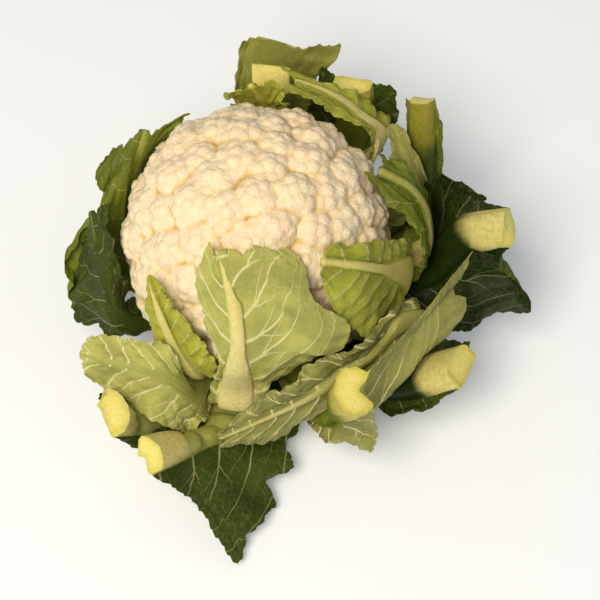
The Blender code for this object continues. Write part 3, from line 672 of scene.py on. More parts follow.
# %% Table of the leaves
BLADE_THICKNESS = 1.5
LEAF_GAP = 1.5  # between one leaf and the next
BASE_RADIUS = 28.2  # where a petiole starts, just off the stem
NECK_RADIUS = 46.0
NECK_RISE = 3.0
FLANK_MARGIN = 0.6  # blade beside the rib of a bare petiole
NECK_SPREAD = 1.15
RING_HEIGHTS = (9.0, 22.5, 35.0)  # middle of the petioles of each ring of leaves
RING_HALF_WIDTHS = (11.0, 8.0, 6.0)
RING_DEPTHS = (6.5, 5.5, 4.2)
RIB_MOST = 0.62  # most of a half's width that the rib takes
RIB_TAPER = 0.8  # power of the length with which a rib tapers
SWELL_END = 0.7  # share of the length over which a rib is swollen
BLADE_FROM = 0.25  # share of the length at which waves and lobes begin
BLADE_WITHIN = 0.25  # share of the length within which they reach their full size
LOBE_SIDE_SHIFT = 0.31  # how far the lobes of the two sides are out of step
LOBE_LEAF_SHIFT = 0.17  # how far those of two leaves are, a degree of azimuth
WAVES_PER_LOBE = 0.8
WAVE_SIDE_SHIFT = 1.3  # radians
END_SHARES = (0.15, 0.5, 1.0)  # how much of the rounding the last three rows take
LEAF_ROWS = 14
RIB_COLUMNS = (0.68, 1.0)  # across the rib, as shares of its half width
BLADE_COLUMNS = (0.36, 0.7, 1.0)  # across the blade, from the rib's flank to the margin
SETTLE_ROUNDS = 8
SETTLED = 0.05  # mm by which a settled leaf may still fall short
RAY_LENGTH = 400.0
PARTING_ROUNDS = 60
FIXED_ROWS = 2  # rows at the stem that stay where they are
PARTING_STEP = 0.3  # mm
SAMPLES_PER_CELL = 3

# One leaf. base: azimuth in degrees and ring of the petiole. rib, a and b: points in mm along the
# midrib, the margin on the side of growing azimuth and the other margin. half_width, depth and inner: the
# rib at its end, with how far its thick and its flat side stand out. swell: how much wider the rib
# grows before it tapers, or narrower where it is negative. cut: share of the length at which the thick rib is
# cut across. stub: how far a cut rib reaches past the blade. bulge: how far each half arches out, wave:
# height of the margin's waves, round_end: how far the end of each half is rounded out, all in mm. lobes: how
# many each side has. notch: their depth as a share of the half's width.
LEAF_FIELDS = "name base rib a b half_width depth swell inner cut stub bulge wave round_end lobes notch"
Leaf = namedtuple("Leaf", LEAF_FIELDS, defaults=(3.2, 2.6, 3.0, 0.0, 1.0, 0.0, 2.0, 2.0, 3.0, 4, 0.18))

LEAVES = (
    Leaf("Leaf_RightInner", (-40, 2),
         [(88, -14, 58), (76, -32, 92), (58, -46, 118), (38, -52, 131)],
         [(88, 2, 68), (82, -14, 100), (66, -30, 121), (46, -40, 131)],
         [(82, -40, 50), (68, -68, 72), (52, -76, 96), (38, -66, 120)],
         half_width=2.4, swell=8.0, lobes=5, notch=0.2),
    Leaf("Leaf_CurlRight", (-5, 2),
         [(98, 4, 56), (100, 8, 86), (90, 12, 108), (72, 16, 121)],
         [(96, 22, 60), (99, 30, 86), (88, 34, 104), (72, 34, 117)],
         [(97, -14, 56), (96, -16, 84), (84, -8, 108), (60, 12, 124)],
         wave=2.5, notch=0.2),
    Leaf("Leaf_PaleUpperRight", (25, 2),
         [(92, 34, 74), (88, 46, 94), (80, 58, 108)],
         [(77, 50, 79), (78, 54, 93), (77, 60, 104)],
         [(104, 30, 66), (102, 40, 84), (90, 54, 106)],
         half_width=2.0, swell=0.0, lobes=3, notch=0.12),
    Leaf("Leaf_OverTop", (60, 2),
         [(73, 62, 84), (57, 63, 118), (41, 62, 135), (24, 66, 140)],
         [(80, 77, 88), (60, 76, 118), (43, 74, 132), (14, 80, 138)],
         [(63, 45, 84), (50, 48, 124), (34, 50, 141), (18, 56, 144)],
         half_width=2.4, swell=7.0, notch=0.2),
    Leaf("Leaf_BackFrill", (96, 2),
         [(3, 84, 84), (1, 80, 110), (-3, 76, 124)],
         [(-16, 84, 84), (-20, 76, 112), (-20, 72, 124)],
         [(22, 84, 86), (18, 80, 112), (15, 80, 126)],
         half_width=2.8, bulge=1.0, notch=0.2),
    Leaf("Leaf_FrontLeftNarrow", (-140, 2),
         [(-34, -74, 46), (-44, -76, 76), (-52, -68, 104), (-58, -54, 118)],
         [(-22, -78, 52), (-24, -80, 84), (-42, -70, 110), (-56, -53, 119)],
         [(-46, -68, 44), (-60, -66, 72), (-61, -62, 98), (-60, -54, 116)],
         half_width=2.2, swell=0.5, round_end=1.0, notch=0.2),
    Leaf("Leaf_FrontBroad", (-92, 2),
         [(-12, -86, 28), (-11, -86, 54), (-10, -88, 80), (-9, -84, 106), (-12, -70, 124), (-19, -50, 137)],
         [(5, -88, 27), (9, -86, 52), (36, -82, 74), (52, -74, 92), (38, -60, 120), (22, -46, 136)],
         [(-29, -84, 27), (-26, -84, 54), (-22, -86, 84), (-30, -70, 106), (-34, -58, 124), (-25, -42, 140)],
         half_width=2.6, depth=2.6, swell=6.0, wave=2.5, lobes=5, notch=0.24),
    Leaf("Leaf_Left", (-166, 1),
         [(-77, -46, 50), (-90, -25, 76), (-97, 5, 96)],
         [(-82, -46, 38), (-113, -29, 40), (-104, -2, 74)],
         [(-73, -18, 43), (-80, -20, 92), (-88, 8, 106)],
         half_width=2.0, depth=2.0, swell=-1.5, wave=2.5, round_end=1.0, lobes=5, notch=0.2),
    Leaf("Leaf_UpperRight", (60, 1),
         [(56, 80, 60), (60, 88, 92), (58, 88, 112)],
         [(28, 92, 62), (31, 93, 96), (39, 94, 122)],
         [(76, 74, 64), (84, 76, 90), (84, 82, 118)],
         half_width=11.5, depth=9.0, inner=2.0, stub=3.0, wave=1.5, round_end=1.0, lobes=3, notch=0.12),
    Leaf("Leaf_FrontBent", (-36, 1),
         [(80, -38, 60), (78, -58, 74), (60, -78, 70), (32, -96, 62), (0, -108, 52), (-20, -114, 44)],
         [(84, -28, 62), (72, -52, 86), (50, -78, 88), (24, -96, 84), (2, -106, 70), (-14, -110, 56)],
         [(78, -48, 54), (84, -70, 62), (70, -86, 48), (36, -100, 36), (0, -114, 30), (-20, -118, 34)],
         half_width=2.2, swell=0.0, wave=2.5, round_end=2.0, lobes=6, notch=0.2),
    Leaf("Leaf_FrontRightCut", (-76, 1),
         [(42, -84, 30), (51, -100, 56), (55, -108, 80)],
         [(72, -72, 40), (118, -58, 78), (127, -22, 100)],
         [(28, -96, 28), (42, -116, 36), (68, -126, 44)],
         half_width=12.0, depth=12.0, inner=1.0, stub=12.0, bulge=3.0, round_end=7.0, lobes=5),
    Leaf("Leaf_Right", (4, 1),
         [(104, 0, 44), (116, 0, 66), (125, 0, 83), (138, -3, 92)],
         [(96, 22, 54), (100, 34, 82), (106, 26, 108), (132, 10, 110)],
         [(104, -42, 32), (132, -44, 46), (168, -38, 60), (141, -22, 76)],
         half_width=11.0, depth=11.0, inner=1.5, stub=14.0, bulge=3.0, wave=2.0, round_end=1.0, lobes=5),
    Leaf("Leaf_FrontLeft", (-128, 1),
         [(-34, -88, 44), (-48, -94, 72), (-70, -92, 84), (-98, -84, 84)],
         [(-28, -96, 32), (-44, -114, 42), (-70, -106, 60), (-96, -92, 72)],
         [(-40, -76, 52), (-46, -80, 86), (-68, -78, 95), (-92, -76, 94)],
         half_width=2.0, depth=2.2, swell=0.0, bulge=2.5, wave=2.5, lobes=5, notch=0.2),
    Leaf("Leaf_Back", (84, 0),
         [(8, 106, 50), (8, 104, 86), (8, 107, 108), (12, 113, 122)],
         [(-14, 100, 56), (-16, 96, 92), (-13, 107, 111), (-10, 113, 124)],
         [(42, 98, 54), (38, 106, 92), (46, 106, 112), (57, 109, 125)],
         half_width=12.0, depth=4.0, inner=8.0, cut=0.79, wave=1.5, round_end=0.0, lobes=5, notch=0.2),
    Leaf("Leaf_UpperLeft", (150, 0),
         [(-78, 20, 50), (-76, 32, 88), (-66, 48, 116)],
         [(-80, -20, 50), (-92, 4, 82), (-97, 34, 106)],
         [(-62, 50, 58), (-54, 58, 98), (-33, 60, 122)],
         half_width=3.4, depth=3.0, bulge=3.0, wave=3.0, round_end=1.0, lobes=6, notch=0.2),
    Leaf("Leaf_TallRib", (30, 0),
         [(98, 50, 44), (102, 56, 86), (100, 68, 110)],
         [(87, 60, 48), (90, 70, 88), (89, 78, 112)],
         [(108, 38, 48), (112, 48, 84), (111, 62, 108)],
         half_width=9.5, depth=8.0, inner=1.0, stub=9.0, bulge=0.5, wave=0.5, round_end=0.0, lobes=3,
         notch=0.1),
    Leaf("Leaf_LowerRightCut", (-42, 0),
         [(84, -70, 32), (101, -77, 44), (113, -81, 56)],
         [(98, -40, 32), (116, -50, 46), (126, -60, 58)],
         [(76, -90, 24), (88, -98, 38), (98, -99, 50)],
         half_width=13.5, depth=13.0, inner=2.0, stub=12.0),
    Leaf("Leaf_LowerLeftCut", (-152, 0),
         [(-54, -86, 28), (-67, -104, 48), (-78, -114, 66)],
         [(-42, -96, 20), (-54, -114, 34), (-64, -126, 50)],
         [(-66, -72, 34), (-78, -90, 56), (-88, -102, 74)],
         half_width=13.5, depth=12.5, inner=1.5, stub=10.0),
    Leaf("Leaf_FrontDrooping", (-98, 0),
         [(-24, -94, 24), (-41, -115, 41), (-51, -127, 53)],
         [(27, -98, 15), (14, -143, 7), (-8, -183, 4)],
         [(-32, -86, 32), (-50, -106, 50), (-63, -124, 60)],
         half_width=10.5, depth=10.0, inner=1.5, stub=18.0, bulge=3.0, wave=3.0, round_end=0.0, lobes=6,
         notch=0.24),
)

print(len(LEAVES), "leaves")

# %% [markdown]
# The lines become the net of the leaf: rows from the stem outwards, columns from one margin to the other.
# The blade arches between the rib and the margin, its margin is lobed and waved, and a rib that was cut
# reaches past the blade.

# %% Net of a leaf
def spline(knots, values, at):
    """A smooth curve through the values, with slopes taken from the neighbours on both sides."""
    knots, values = np.asarray(knots), np.asarray(values, float)
    slopes = np.empty_like(values)
    slopes[1:-1] = (values[2:] - values[:-2]) / (knots[2:] - knots[:-2])[:, None]
    slopes[0] = (values[1] - values[0]) / (knots[1] - knots[0])
    slopes[-1] = (values[-1] - values[-2]) / (knots[-1] - knots[-2])
    place = np.clip(np.searchsorted(knots, at, side="right") - 1, 0, len(knots) - 2)
    step = (knots[place + 1] - knots[place])[:, None]
    share = (at - knots[place])[:, None] / step
    rest = 1.0 - share
    return (values[place] * rest**2 * (1 + 2 * share) + slopes[place] * step * share * rest**2
            + values[place + 1] * share**2 * (1 + 2 * rest) - slopes[place + 1] * step * share**2 * rest)


def station_curves(leaf):
    """Knots and the three curves of a leaf, from the stem through its neck to the rows of the table."""
    azimuth, ring = math.radians(leaf.base[0]), leaf.base[1]
    outward = np.array([math.cos(azimuth), math.sin(azimuth), 0.0])
    sideways = np.array([-math.sin(azimuth), math.cos(azimuth), 0.0])
    base = outward * BASE_RADIUS + [0.0, 0.0, RING_HEIGHTS[ring]]
    neck = outward * NECK_RADIUS + [0.0, 0.0, RING_HEIGHTS[ring] + NECK_RISE]
    flank = sideways * (RING_HALF_WIDTHS[ring] + FLANK_MARGIN)
    rib = np.vstack([[base, neck], leaf.rib])
    side_a = np.vstack([[base + flank, neck + flank * NECK_SPREAD], leaf.a])
    side_b = np.vstack([[base - flank, neck - flank * NECK_SPREAD], leaf.b])
    lengths = sum(np.linalg.norm(np.diff(curve, axis=0), axis=1) for curve in (rib, side_a, side_b))
    knots = np.concatenate([[0.0], np.cumsum(lengths)])
    return knots / knots[-1], rib, side_a, side_b


def normals_of(grid):
    along = np.gradient(grid, axis=0)
    across = np.gradient(grid, axis=1)
    normal = np.cross(along, across)
    return normal / np.maximum(np.linalg.norm(normal, axis=2), 1e-9)[..., None]


def blade_start(u):
    """0 on the bare petiole near the stem, 1 where the blade has its full waves and lobes."""
    return np.clip((u - BLADE_FROM) / BLADE_WITHIN, 0.0, 1.0)


def rib_sizes(leaf, u):
    """Half width of the rib and how far its thick side and its flat side stand out, at each row."""
    ring = leaf.base[1]
    taper = u**RIB_TAPER
    swell = np.clip(u / SWELL_END, 0.0, 1.0)
    half_width = RING_HALF_WIDTHS[ring] + (leaf.half_width - RING_HALF_WIDTHS[ring]) * taper
    half_width = half_width + leaf.swell * 4.0 * swell * (1.0 - swell)
    thick = u <= leaf.cut + 1e-6
    behind = (RING_DEPTHS[ring] + (leaf.depth - RING_DEPTHS[ring]) * taper) * thick
    return half_width, behind, leaf.inner * taper * thick


def column_shares():
    """Across the leaf from margin a to margin b: which side, share of the rib and share of the blade."""
    rib = [0.0, *RIB_COLUMNS] + [1.0] * len(BLADE_COLUMNS)
    blade = [0.0] * (1 + len(RIB_COLUMNS)) + list(BLADE_COLUMNS)
    side = np.concatenate([np.ones(len(rib)), -np.ones(len(rib) - 1)])
    return side, np.array(rib[::-1] + rib[1:]), np.array(blade[::-1] + blade[1:])


def relief(leaf, sheet, u, start, side, blade_share):
    """The sheet with each half arched out and its margins waved."""
    swell = leaf.bulge * 4.0 * blade_share * (1.0 - blade_share)
    turns = 2.0 * math.pi * leaf.lobes * WAVES_PER_LOBE * u[:, None] + side * WAVE_SIDE_SHIFT + leaf.base[0]
    wave = leaf.wave * blade_share**2 * np.sin(turns)
    return sheet + normals_of(sheet) * ((swell + wave) * start[:, None])[..., None]


def shaped_end(leaf, sheet, blade_share):
    """The sheet with the end of each half rounded out, and a cut rib reaching past the blade."""
    heading = sheet[-1] - sheet[-2]
    heading /= np.linalg.norm(heading, axis=1)[:, None]
    rounding = leaf.round_end * 4.0 * blade_share * (1.0 - blade_share)
    for row, share in zip((-3, -2, -1), END_SHARES):
        sheet[row] += heading * (rounding * share)[:, None]
    on_rib = blade_share == 0.0
    sheet[-1, on_rib] += heading[on_rib] * leaf.stub
    return sheet


def leaf_sheet(leaf, rows):
    """The sheet halfway through the blade, as a grid from the stem outwards and from margin a to b."""
    knots, rib, side_a, side_b = station_curves(leaf)
    u = np.linspace(0.0, 1.0, rows + 1)
    rib, side_a, side_b = (spline(knots, curve, u) for curve in (rib, side_a, side_b))
    heading = np.gradient(rib, axis=0)
    heading /= np.linalg.norm(heading, axis=1)[:, None]
    half_width = rib_sizes(leaf, u)[0]
    start = blade_start(u)
    side, rib_share, blade_share = column_shares()
    sheet = []
    for column_side, rib_part, blade_part in zip(side, rib_share, blade_share):
        reach = (side_a if column_side > 0 else side_b) - rib
        square = reach - np.sum(reach * heading, axis=1)[:, None] * heading
        width = np.linalg.norm(square, axis=1)
        flank = square * (np.minimum(half_width, width * RIB_MOST) / width)[:, None]
        swing = leaf.lobes * u + LOBE_SIDE_SHIFT * column_side + LOBE_LEAF_SHIFT * leaf.base[0]
        lobe = 1.0 - leaf.notch * start * (1.0 - np.abs(np.sin(math.pi * swing)))
        sheet.append(rib + flank * rib_part + (reach - flank) * (blade_part * lobe)[:, None])
    sheet = np.stack(sheet, axis=1)
    return shaped_end(leaf, relief(leaf, sheet, u, start, side, blade_share), blade_share)


print("a net has", LEAF_ROWS + 1, "rows and", len(column_shares()[0]), "columns")

# %% [markdown]
# ## Leaves that lie on one another
#
# Real leaves wrap the curd and press on each other. The solid leaves were laid one after another, from the
# inner ones to the outer ones, and each was pushed away from the curd's middle until it was clear of what
# lay under it. The same is done here, against the same solids, so that each finer leaf keeps its place.
# Rays from outside towards the curd's middle measure how far each part of the net has to move.

# %% Settle a net on the solids
def finer(grid, times):
    """The grid with straight steps between its points, so that samples fall inside each cell too."""
    for axis in (0, 1):
        count = grid.shape[axis]
        place = np.linspace(0.0, count - 1.0, (count - 1) * times + 1)
        low = np.clip(place.astype(int), 0, count - 2)
        share = (place - low).reshape((-1, 1, 1) if axis == 0 else (1, -1, 1))
        grid = np.take(grid, low, axis=axis) * (1.0 - share) + np.take(grid, low + 1, axis=axis) * share
    return grid


def lacking(sheet, inner, tree):
    """How far each sample of the sheet lies inside the place that clears what is already built."""
    samples = finer(np.dstack([sheet, inner]), SAMPLES_PER_CELL)
    lack = np.zeros(samples.shape[:2])
    for index in np.ndindex(lack.shape):
        offset = samples[index][:3] - CURD_CENTRE
        distance = np.linalg.norm(offset)
        outward = Vector(offset / distance)
        hit = tree.ray_cast(Vector(CURD_CENTRE) + outward * RAY_LENGTH, -outward, RAY_LENGTH)
        if hit[0] is not None:
            needed = RAY_LENGTH - hit[3] + LEAF_GAP + BLADE_THICKNESS * 0.5 + samples[index][3]
            lack[index] = needed - distance
    return np.maximum(lack, 0.0)


def moved_out(sheet, move):
    offset = sheet - CURD_CENTRE
    return sheet + offset / np.linalg.norm(offset, axis=2)[..., None] * move[..., None]


def settle(sheet, inner, tree):
    """Moves the sheet outwards from the curd's centre until it clears the curd and the inner leaves."""
    reach = SAMPLES_PER_CELL
    for _ in range(SETTLE_ROUNDS):
        lack = lacking(sheet, inner, tree)
        if lack.max() < SETTLED:
            break
        padded = np.pad(lack, reach)
        move = np.zeros(sheet.shape[:2])
        for row, column in np.ndindex(move.shape):
            low, left = row * reach, column * reach
            move[row, column] = padded[low:low + 2 * reach + 1, left:left + 2 * reach + 1].max()
        sheet = moved_out(sheet, move)
    return sheet


print("a net is measured", SAMPLES_PER_CELL, "times a cell")

# %% [markdown]
# Where the net still crosses a solid or itself, its points move a little outwards, or are drawn towards
# their neighbours, until nothing crosses.

# %% Untangle a net
def rib_sides(leaf, thick, flat):
    """What stands out on the outer and on the inner face. A rib with a stub has its thick side inside."""
    return (flat, thick) if leaf.stub > 0.0 else (thick, flat)


def leaf_points(leaf, sheet):
    """The outer face's points, then those of the inner face, each with its side of the rib."""
    thick, flat = rib_sizes(leaf, np.linspace(0.0, 1.0, len(sheet)))[1:]
    outer, inner = rib_sides(leaf, thick, flat)
    rib_share, blade_share = column_shares()[1:]
    profile = np.cbrt(1.0 - rib_share**3) * (blade_share == 0.0)
    outward = normals_of(sheet)
    outer_face = sheet + outward * (BLADE_THICKNESS * 0.5 + outer[:, None] * profile)[..., None]
    inner_face = sheet - outward * (BLADE_THICKNESS * 0.5 + inner[:, None] * profile)[..., None]
    return np.vstack([outer_face.reshape(-1, 3), inner_face.reshape(-1, 3)])


def leaf_faces(rows, columns):
    """Triangles of both faces, split alike on both, and of the strip that closes the margin."""
    number = np.arange(rows * columns).reshape(rows, columns)
    back = rows * columns
    faces = []
    for row, column in np.ndindex(rows - 1, columns - 1):
        corner = (number[row, column], number[row + 1, column],
                  number[row + 1, column + 1], number[row, column + 1])
        splits = (((0, 1, 2), (0, 2, 3)), ((0, 1, 3), (1, 2, 3)))
        for triple in splits[int((column >= columns // 2) == (row % 2 == 0))]:
            first, second, third = (corner[pick] for pick in triple)
            faces.append((first, second, third))
            faces.append((third + back, second + back, first + back))
    rim = [*number[0, :], *number[1:, -1], *number[-1, -2::-1], *number[-2:0:-1, 0]]
    for start, end in zip(rim, rim[1:] + rim[:1]):
        faces.append((start, end, end + back))
        faces.append((start, end + back, start + back))
    return np.array(faces)


def tree_of(solids):
    points = []
    faces = []
    count = 0
    for solid_points, solid_faces in solids:
        points.extend(solid_points.tolist())
        faces.extend((np.asarray(solid_faces) + count).tolist())
        count += len(solid_points)
    return BVHTree.FromPolygons(points, faces)


def touched_points(triangles, faces, count):
    """Grid numbers of the points of some triangles, whichever face they are on."""
    return np.unique(faces[sorted(triangles)] % count) if triangles else np.array([], int)


def relaxed(sheet, points):
    """The sheet with some of its points drawn halfway to the middle of their neighbours."""
    rows, columns = sheet.shape[:2]
    eased = sheet.copy()
    for point in points:
        row, column = divmod(int(point), columns)
        if row < FIXED_ROWS:
            continue
        rows_near = [sheet[near, column] for near in (row - 1, row + 1) if near < rows]
        columns_near = [sheet[row, near] for near in (column - 1, column + 1) if 0 <= near < columns]
        near = rows_near + columns_near
        if len(columns_near) == 1:
            near = rows_near
        elif len(rows_near) == 1:
            near = columns_near
        eased[row, column] = 0.5 * sheet[row, column] + 0.5 * np.mean(near, axis=0)
    return eased


def untangled(leaf, sheet, faces, tree):
    """The sheet with its points moved until its triangles cross neither each other nor what is built."""
    count = sheet.shape[0] * sheet.shape[1]
    corners = [set(face) for face in faces.tolist()]
    for _ in range(PARTING_ROUNDS):
        own = tree_of([(leaf_points(leaf, sheet), faces)])
        against = {pair[1] for pair in tree.overlap(own)}
        folded = {pair[0] for pair in own.overlap(own) if not corners[pair[0]] & corners[pair[1]]}
        if not against and not folded:
            break
        move = np.zeros(count)
        move[touched_points(against, faces, count)] = PARTING_STEP
        sheet = moved_out(sheet, move.reshape(sheet.shape[:2]))
        sheet = relaxed(sheet, touched_points(folded, faces, count))
    return sheet


def solid_of(node):
    """Points in millimetres and triangles of a solid of the model."""
    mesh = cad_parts[node].data
    points = np.empty(len(mesh.vertices) * 3, np.float32)
    mesh.vertices.foreach_get("co", points)
    mesh.calc_loop_triangles()
    triangles = np.empty(len(mesh.loop_triangles) * 3, np.int32)
    mesh.loop_triangles.foreach_get("vertices", triangles)
    return points.reshape(-1, 3) / MM, triangles.reshape(-1, 3)


def settled_nets():
    """The net of every leaf, each settled on the solids of those before it."""
    solids = [solid_of("Curd"), solid_of("Stem")]
    nets = {}
    for leaf in LEAVES:
        tree = tree_of(solids)
        sheet = leaf_sheet(leaf, LEAF_ROWS)
        inner = rib_sizes(leaf, np.linspace(0.0, 1.0, LEAF_ROWS + 1))[2]
        sheet = settle(sheet, np.repeat(inner[:, None], sheet.shape[1], axis=1), tree)
        nets[leaf.name] = untangled(leaf, sheet, leaf_faces(*sheet.shape[:2]), tree)
        solids.append(solid_of(leaf.name))
    return nets


NETS = settled_nets()
print("settled", len(NETS), "nets")

# %% [markdown]
# ## From a net to a smooth sheet
#
# The same spline that drew the lines now runs along and across the net and fills it with points about a
# millimetre apart. Across the leaf a point is told by its place: 0 on the midrib, 1 at the flank of the
# rib and 2 at the margin, positive on one side and negative on the other.

# %% Fill a net
ROW_STEPS = 12
RIB_PLACES = (0.0, 0.2, 0.4, 0.55, 0.68, 0.79, 0.88, 0.95, 1.0)
BLADE_STEPS = 45


def fine_places():
    """Places across the leaf, from margin a at 2 to margin b at -2."""
    blade = 1.0 + np.linspace(0.0, 1.0, BLADE_STEPS + 1)[1:]
    half = np.concatenate([RIB_PLACES, blade])
    return np.concatenate([half[::-1], -half[1:]])


def filled(net):
    """A spline along each column of the net, then one across each of the rows that it gives."""
    rows, columns = net.shape[:2]
    along = np.concatenate([[0.0], np.cumsum(np.linalg.norm(np.diff(net, axis=0), axis=2).mean(axis=1))])
    across = np.concatenate([[0.0], np.cumsum(np.linalg.norm(np.diff(net, axis=1), axis=2).mean(axis=0))])
    side, rib_share, blade_share = column_shares()
    coarse_places = side * (rib_share + blade_share)
    row_at = np.interp(np.linspace(0.0, rows - 1.0, (rows - 1) * ROW_STEPS + 1), np.arange(rows), along)
    column_at = np.interp(-fine_places(), -coarse_places, across)
    lengthwise = spline(along, net.reshape(rows, -1), row_at).reshape(-1, columns, 3)
    crosswise = spline(across, lengthwise.transpose(1, 0, 2).reshape(columns, -1), column_at)
    return crosswise.reshape(len(column_at), -1, 3).transpose(1, 0, 2)


print("a sheet has", LEAF_ROWS * ROW_STEPS + 1, "rows and", len(fine_places()), "columns")

# %% [markdown]
# ## Ragged margins
#
# The margin of a cauliflower leaf is cut into small uneven teeth, and its torn end is ragged. The sheet is
# drawn in towards the rib by a depth that changes along the margin, so the leaf never grows past its solid.
# The depth is a sum of pointed waves of a few lengths.

# %% Draw the margins in
MARGIN_TEETH = (21.0, 8.3, 3.7)  # mm from tooth to tooth
END_TEETH = (17.0, 6.1, 3.1)
TEETH_FROM = 0.3  # share of the length at which the teeth begin
TEETH_WITHIN = 0.15  # share of the length within which they reach their full depth
DEEPEST_TOOTH = 0.45  # most of a half's width that a tooth takes
TORN_FROM = 0.6  # share of the length that the torn end doesn't reach
RIB_SPARED = 0.15  # share of a half's width within which the end's teeth reach their full depth
LEAST_STEP = 0.4  # mm between two rows, at least, when a depth is counted in rows
DEEPEST_BITE = 0.2  # most of the length that a tooth of the end takes


def pointed_waves(along, lengths, depths, phases):
    """Sum over the wave lengths of depth times one minus the size of a sine: round lobes, sharp notches."""
    total = np.zeros_like(along)
    for length, depth, phase in zip(lengths, depths, phases):
        total += depth * (1.0 - np.abs(np.sin(math.pi * along / length + phase)))
    return total


def lengths_from(points, axis):
    """Distance along the rows or columns of a grid of points, from its first entry."""
    steps = np.linalg.norm(np.diff(points, axis=axis), axis=2)
    start = np.zeros((1, steps.shape[1]) if axis == 0 else (steps.shape[0], 1))
    return np.concatenate([start, np.cumsum(steps, axis=axis)], axis=axis)


def taken_at(sheet, index, axis):
    """The sheet's points at fractional grid numbers along one axis, straight between two entries."""
    low = np.clip(np.floor(index).astype(int), 0, sheet.shape[axis] - 2)
    share = (index - low)[..., None]
    rows, columns = np.indices(index.shape)
    if axis == 0:
        return sheet[low, columns] * (1.0 - share) + sheet[low + 1, columns] * share
    return sheet[rows, low] * (1.0 - share) + sheet[rows, low + 1] * share


def toothed(sheet, looks, places, u, rng):
    """The sheet with both margins and its end drawn in by the teeth."""
    start = np.clip((u - TEETH_FROM) / TEETH_WITHIN, 0.0, 1.0)
    blade = np.maximum(np.abs(places) - 1.0, 0.0)
    wanted = np.empty((len(u), len(places)))
    for side, column in ((1.0, 0), (-1.0, -1)):
        own = places * side >= 0.0
        edge = sheet[:, column]
        along = np.concatenate([[0.0], np.cumsum(np.linalg.norm(np.diff(edge, axis=0), axis=1))])
        width = np.linalg.norm(edge - sheet[:, len(places) // 2], axis=1)
        depth = pointed_waves(along, MARGIN_TEETH, looks.teeth, rng.uniform(0.0, math.pi, 3)) * start
        share = 1.0 - np.minimum(depth / np.maximum(width, 1.0), DEEPEST_TOOTH)
        drawn = np.sign(places) * (np.minimum(np.abs(places), 1.0) + blade * share[:, None])
        wanted[:, own] = drawn[:, own]
    numbers = np.interp(-wanted, -places, np.arange(len(places)))
    sheet = taken_at(sheet, numbers, 1)
    across = lengths_from(sheet, 1)[-1]
    bite = pointed_waves(across, END_TEETH, looks.torn, rng.uniform(0.0, math.pi, 3))
    bite *= np.clip(blade / RIB_SPARED, 0.0, 1.0)
    step = np.linalg.norm(sheet[-1] - sheet[-ROW_STEPS], axis=1) / ROW_STEPS
    torn = np.clip((u - TORN_FROM) / (1.0 - TORN_FROM), 0.0, 1.0)
    pulled = np.minimum(bite / np.maximum(step, LEAST_STEP) * torn[:, None], len(u) * DEEPEST_BITE)
    return taken_at(sheet, np.arange(len(u))[:, None] - pulled, 0)


print("teeth repeat every", MARGIN_TEETH, "mm along a margin and every", END_TEETH, "mm along an end")

# %% [markdown]
# ## Veins
#
# Side veins leave the midrib in turn on both sides, lean towards the tip and fork. In a flat picture of the
# leaf, with the length along the rib up and the distance from the rib across, each vein is a bent line.
# Painting thin lines on the points of a mesh would leave them dotted, so each point gets a vein number
# instead: it is whole on a vein and rises evenly from one vein to the next. The finish draws a thin line
# wherever that number is whole. The forks that lean up and those that lean down have numbers of their own.

# %% Numbers of the veins
VEIN_LEAN = 0.85  # how far a side vein climbs for each millimetre outwards
VEIN_BEND = 0.006  # how much more it climbs for each square millimetre
FORK_LEAN = 0.75
FORK_REACH = 30.0  # mm over which a fork fades away
FORK_STARTS = (7.0, 16.0)  # mm from the rib
FORK_SIZE = 0.75  # strength of a fork as a share of its vein's
FIRST_VEIN = 0.2  # share of the length where the side veins begin
SPARE_VEINS = 3  # lines below the foot, and as many past the tip
START_SPREAD = 0.2  # share of the spacing by which a start is off, at most
LEAN_SPREAD = (0.8, 1.2)
VEIN_SIZES = (0.5, 1.5)  # least and greatest strength of a vein
VEIN_WANES = 0.8  # strength lost from the foot to the tip
OUTWARD_SIZES = (0.45, 1.15)  # the same two for the way outwards
OUTWARD_WANES = 60.0  # mm outwards over which a strength of 1 is lost
LEAST_GAP = 0.5  # mm between two veins, at least, when a place between them is counted
STRAYS = ((1.3, 6.5, 2.1), (0.5, 2.6, 0.9))  # height in mm, length in mm and turn per vein of its waviness
VEIN_GROUPS = ("vein", "fork_up", "fork_down")


def bell(distance, width):
    return np.exp(-(distance / width) ** 2)


def vein_lines(length, spacing, rng):
    """Starts on the rib, leans and distances to the forks, from below the foot to past the tip."""
    count = int(length / spacing) + 2 * SPARE_VEINS + 1
    starts = (np.arange(count) - SPARE_VEINS + rng.uniform()) * spacing
    starts += rng.uniform(-START_SPREAD, START_SPREAD, count) * spacing
    return starts, VEIN_LEAN * rng.uniform(*LEAN_SPREAD, count), rng.uniform(*FORK_STARTS, count)


def numbered(along, centres):
    """Number of the vein below each point, plus the share of the way from there to the vein above."""
    centres = np.maximum.accumulate(centres, axis=0)
    above = np.clip((centres <= along).sum(axis=0), 1, len(centres) - 1)
    low = np.take_along_axis(centres, above[None] - 1, axis=0)[0]
    high = np.take_along_axis(centres, above[None], axis=0)[0]
    return above - 1 + np.clip((along - low) / np.maximum(high - low, LEAST_GAP), 0.0, 1.0)


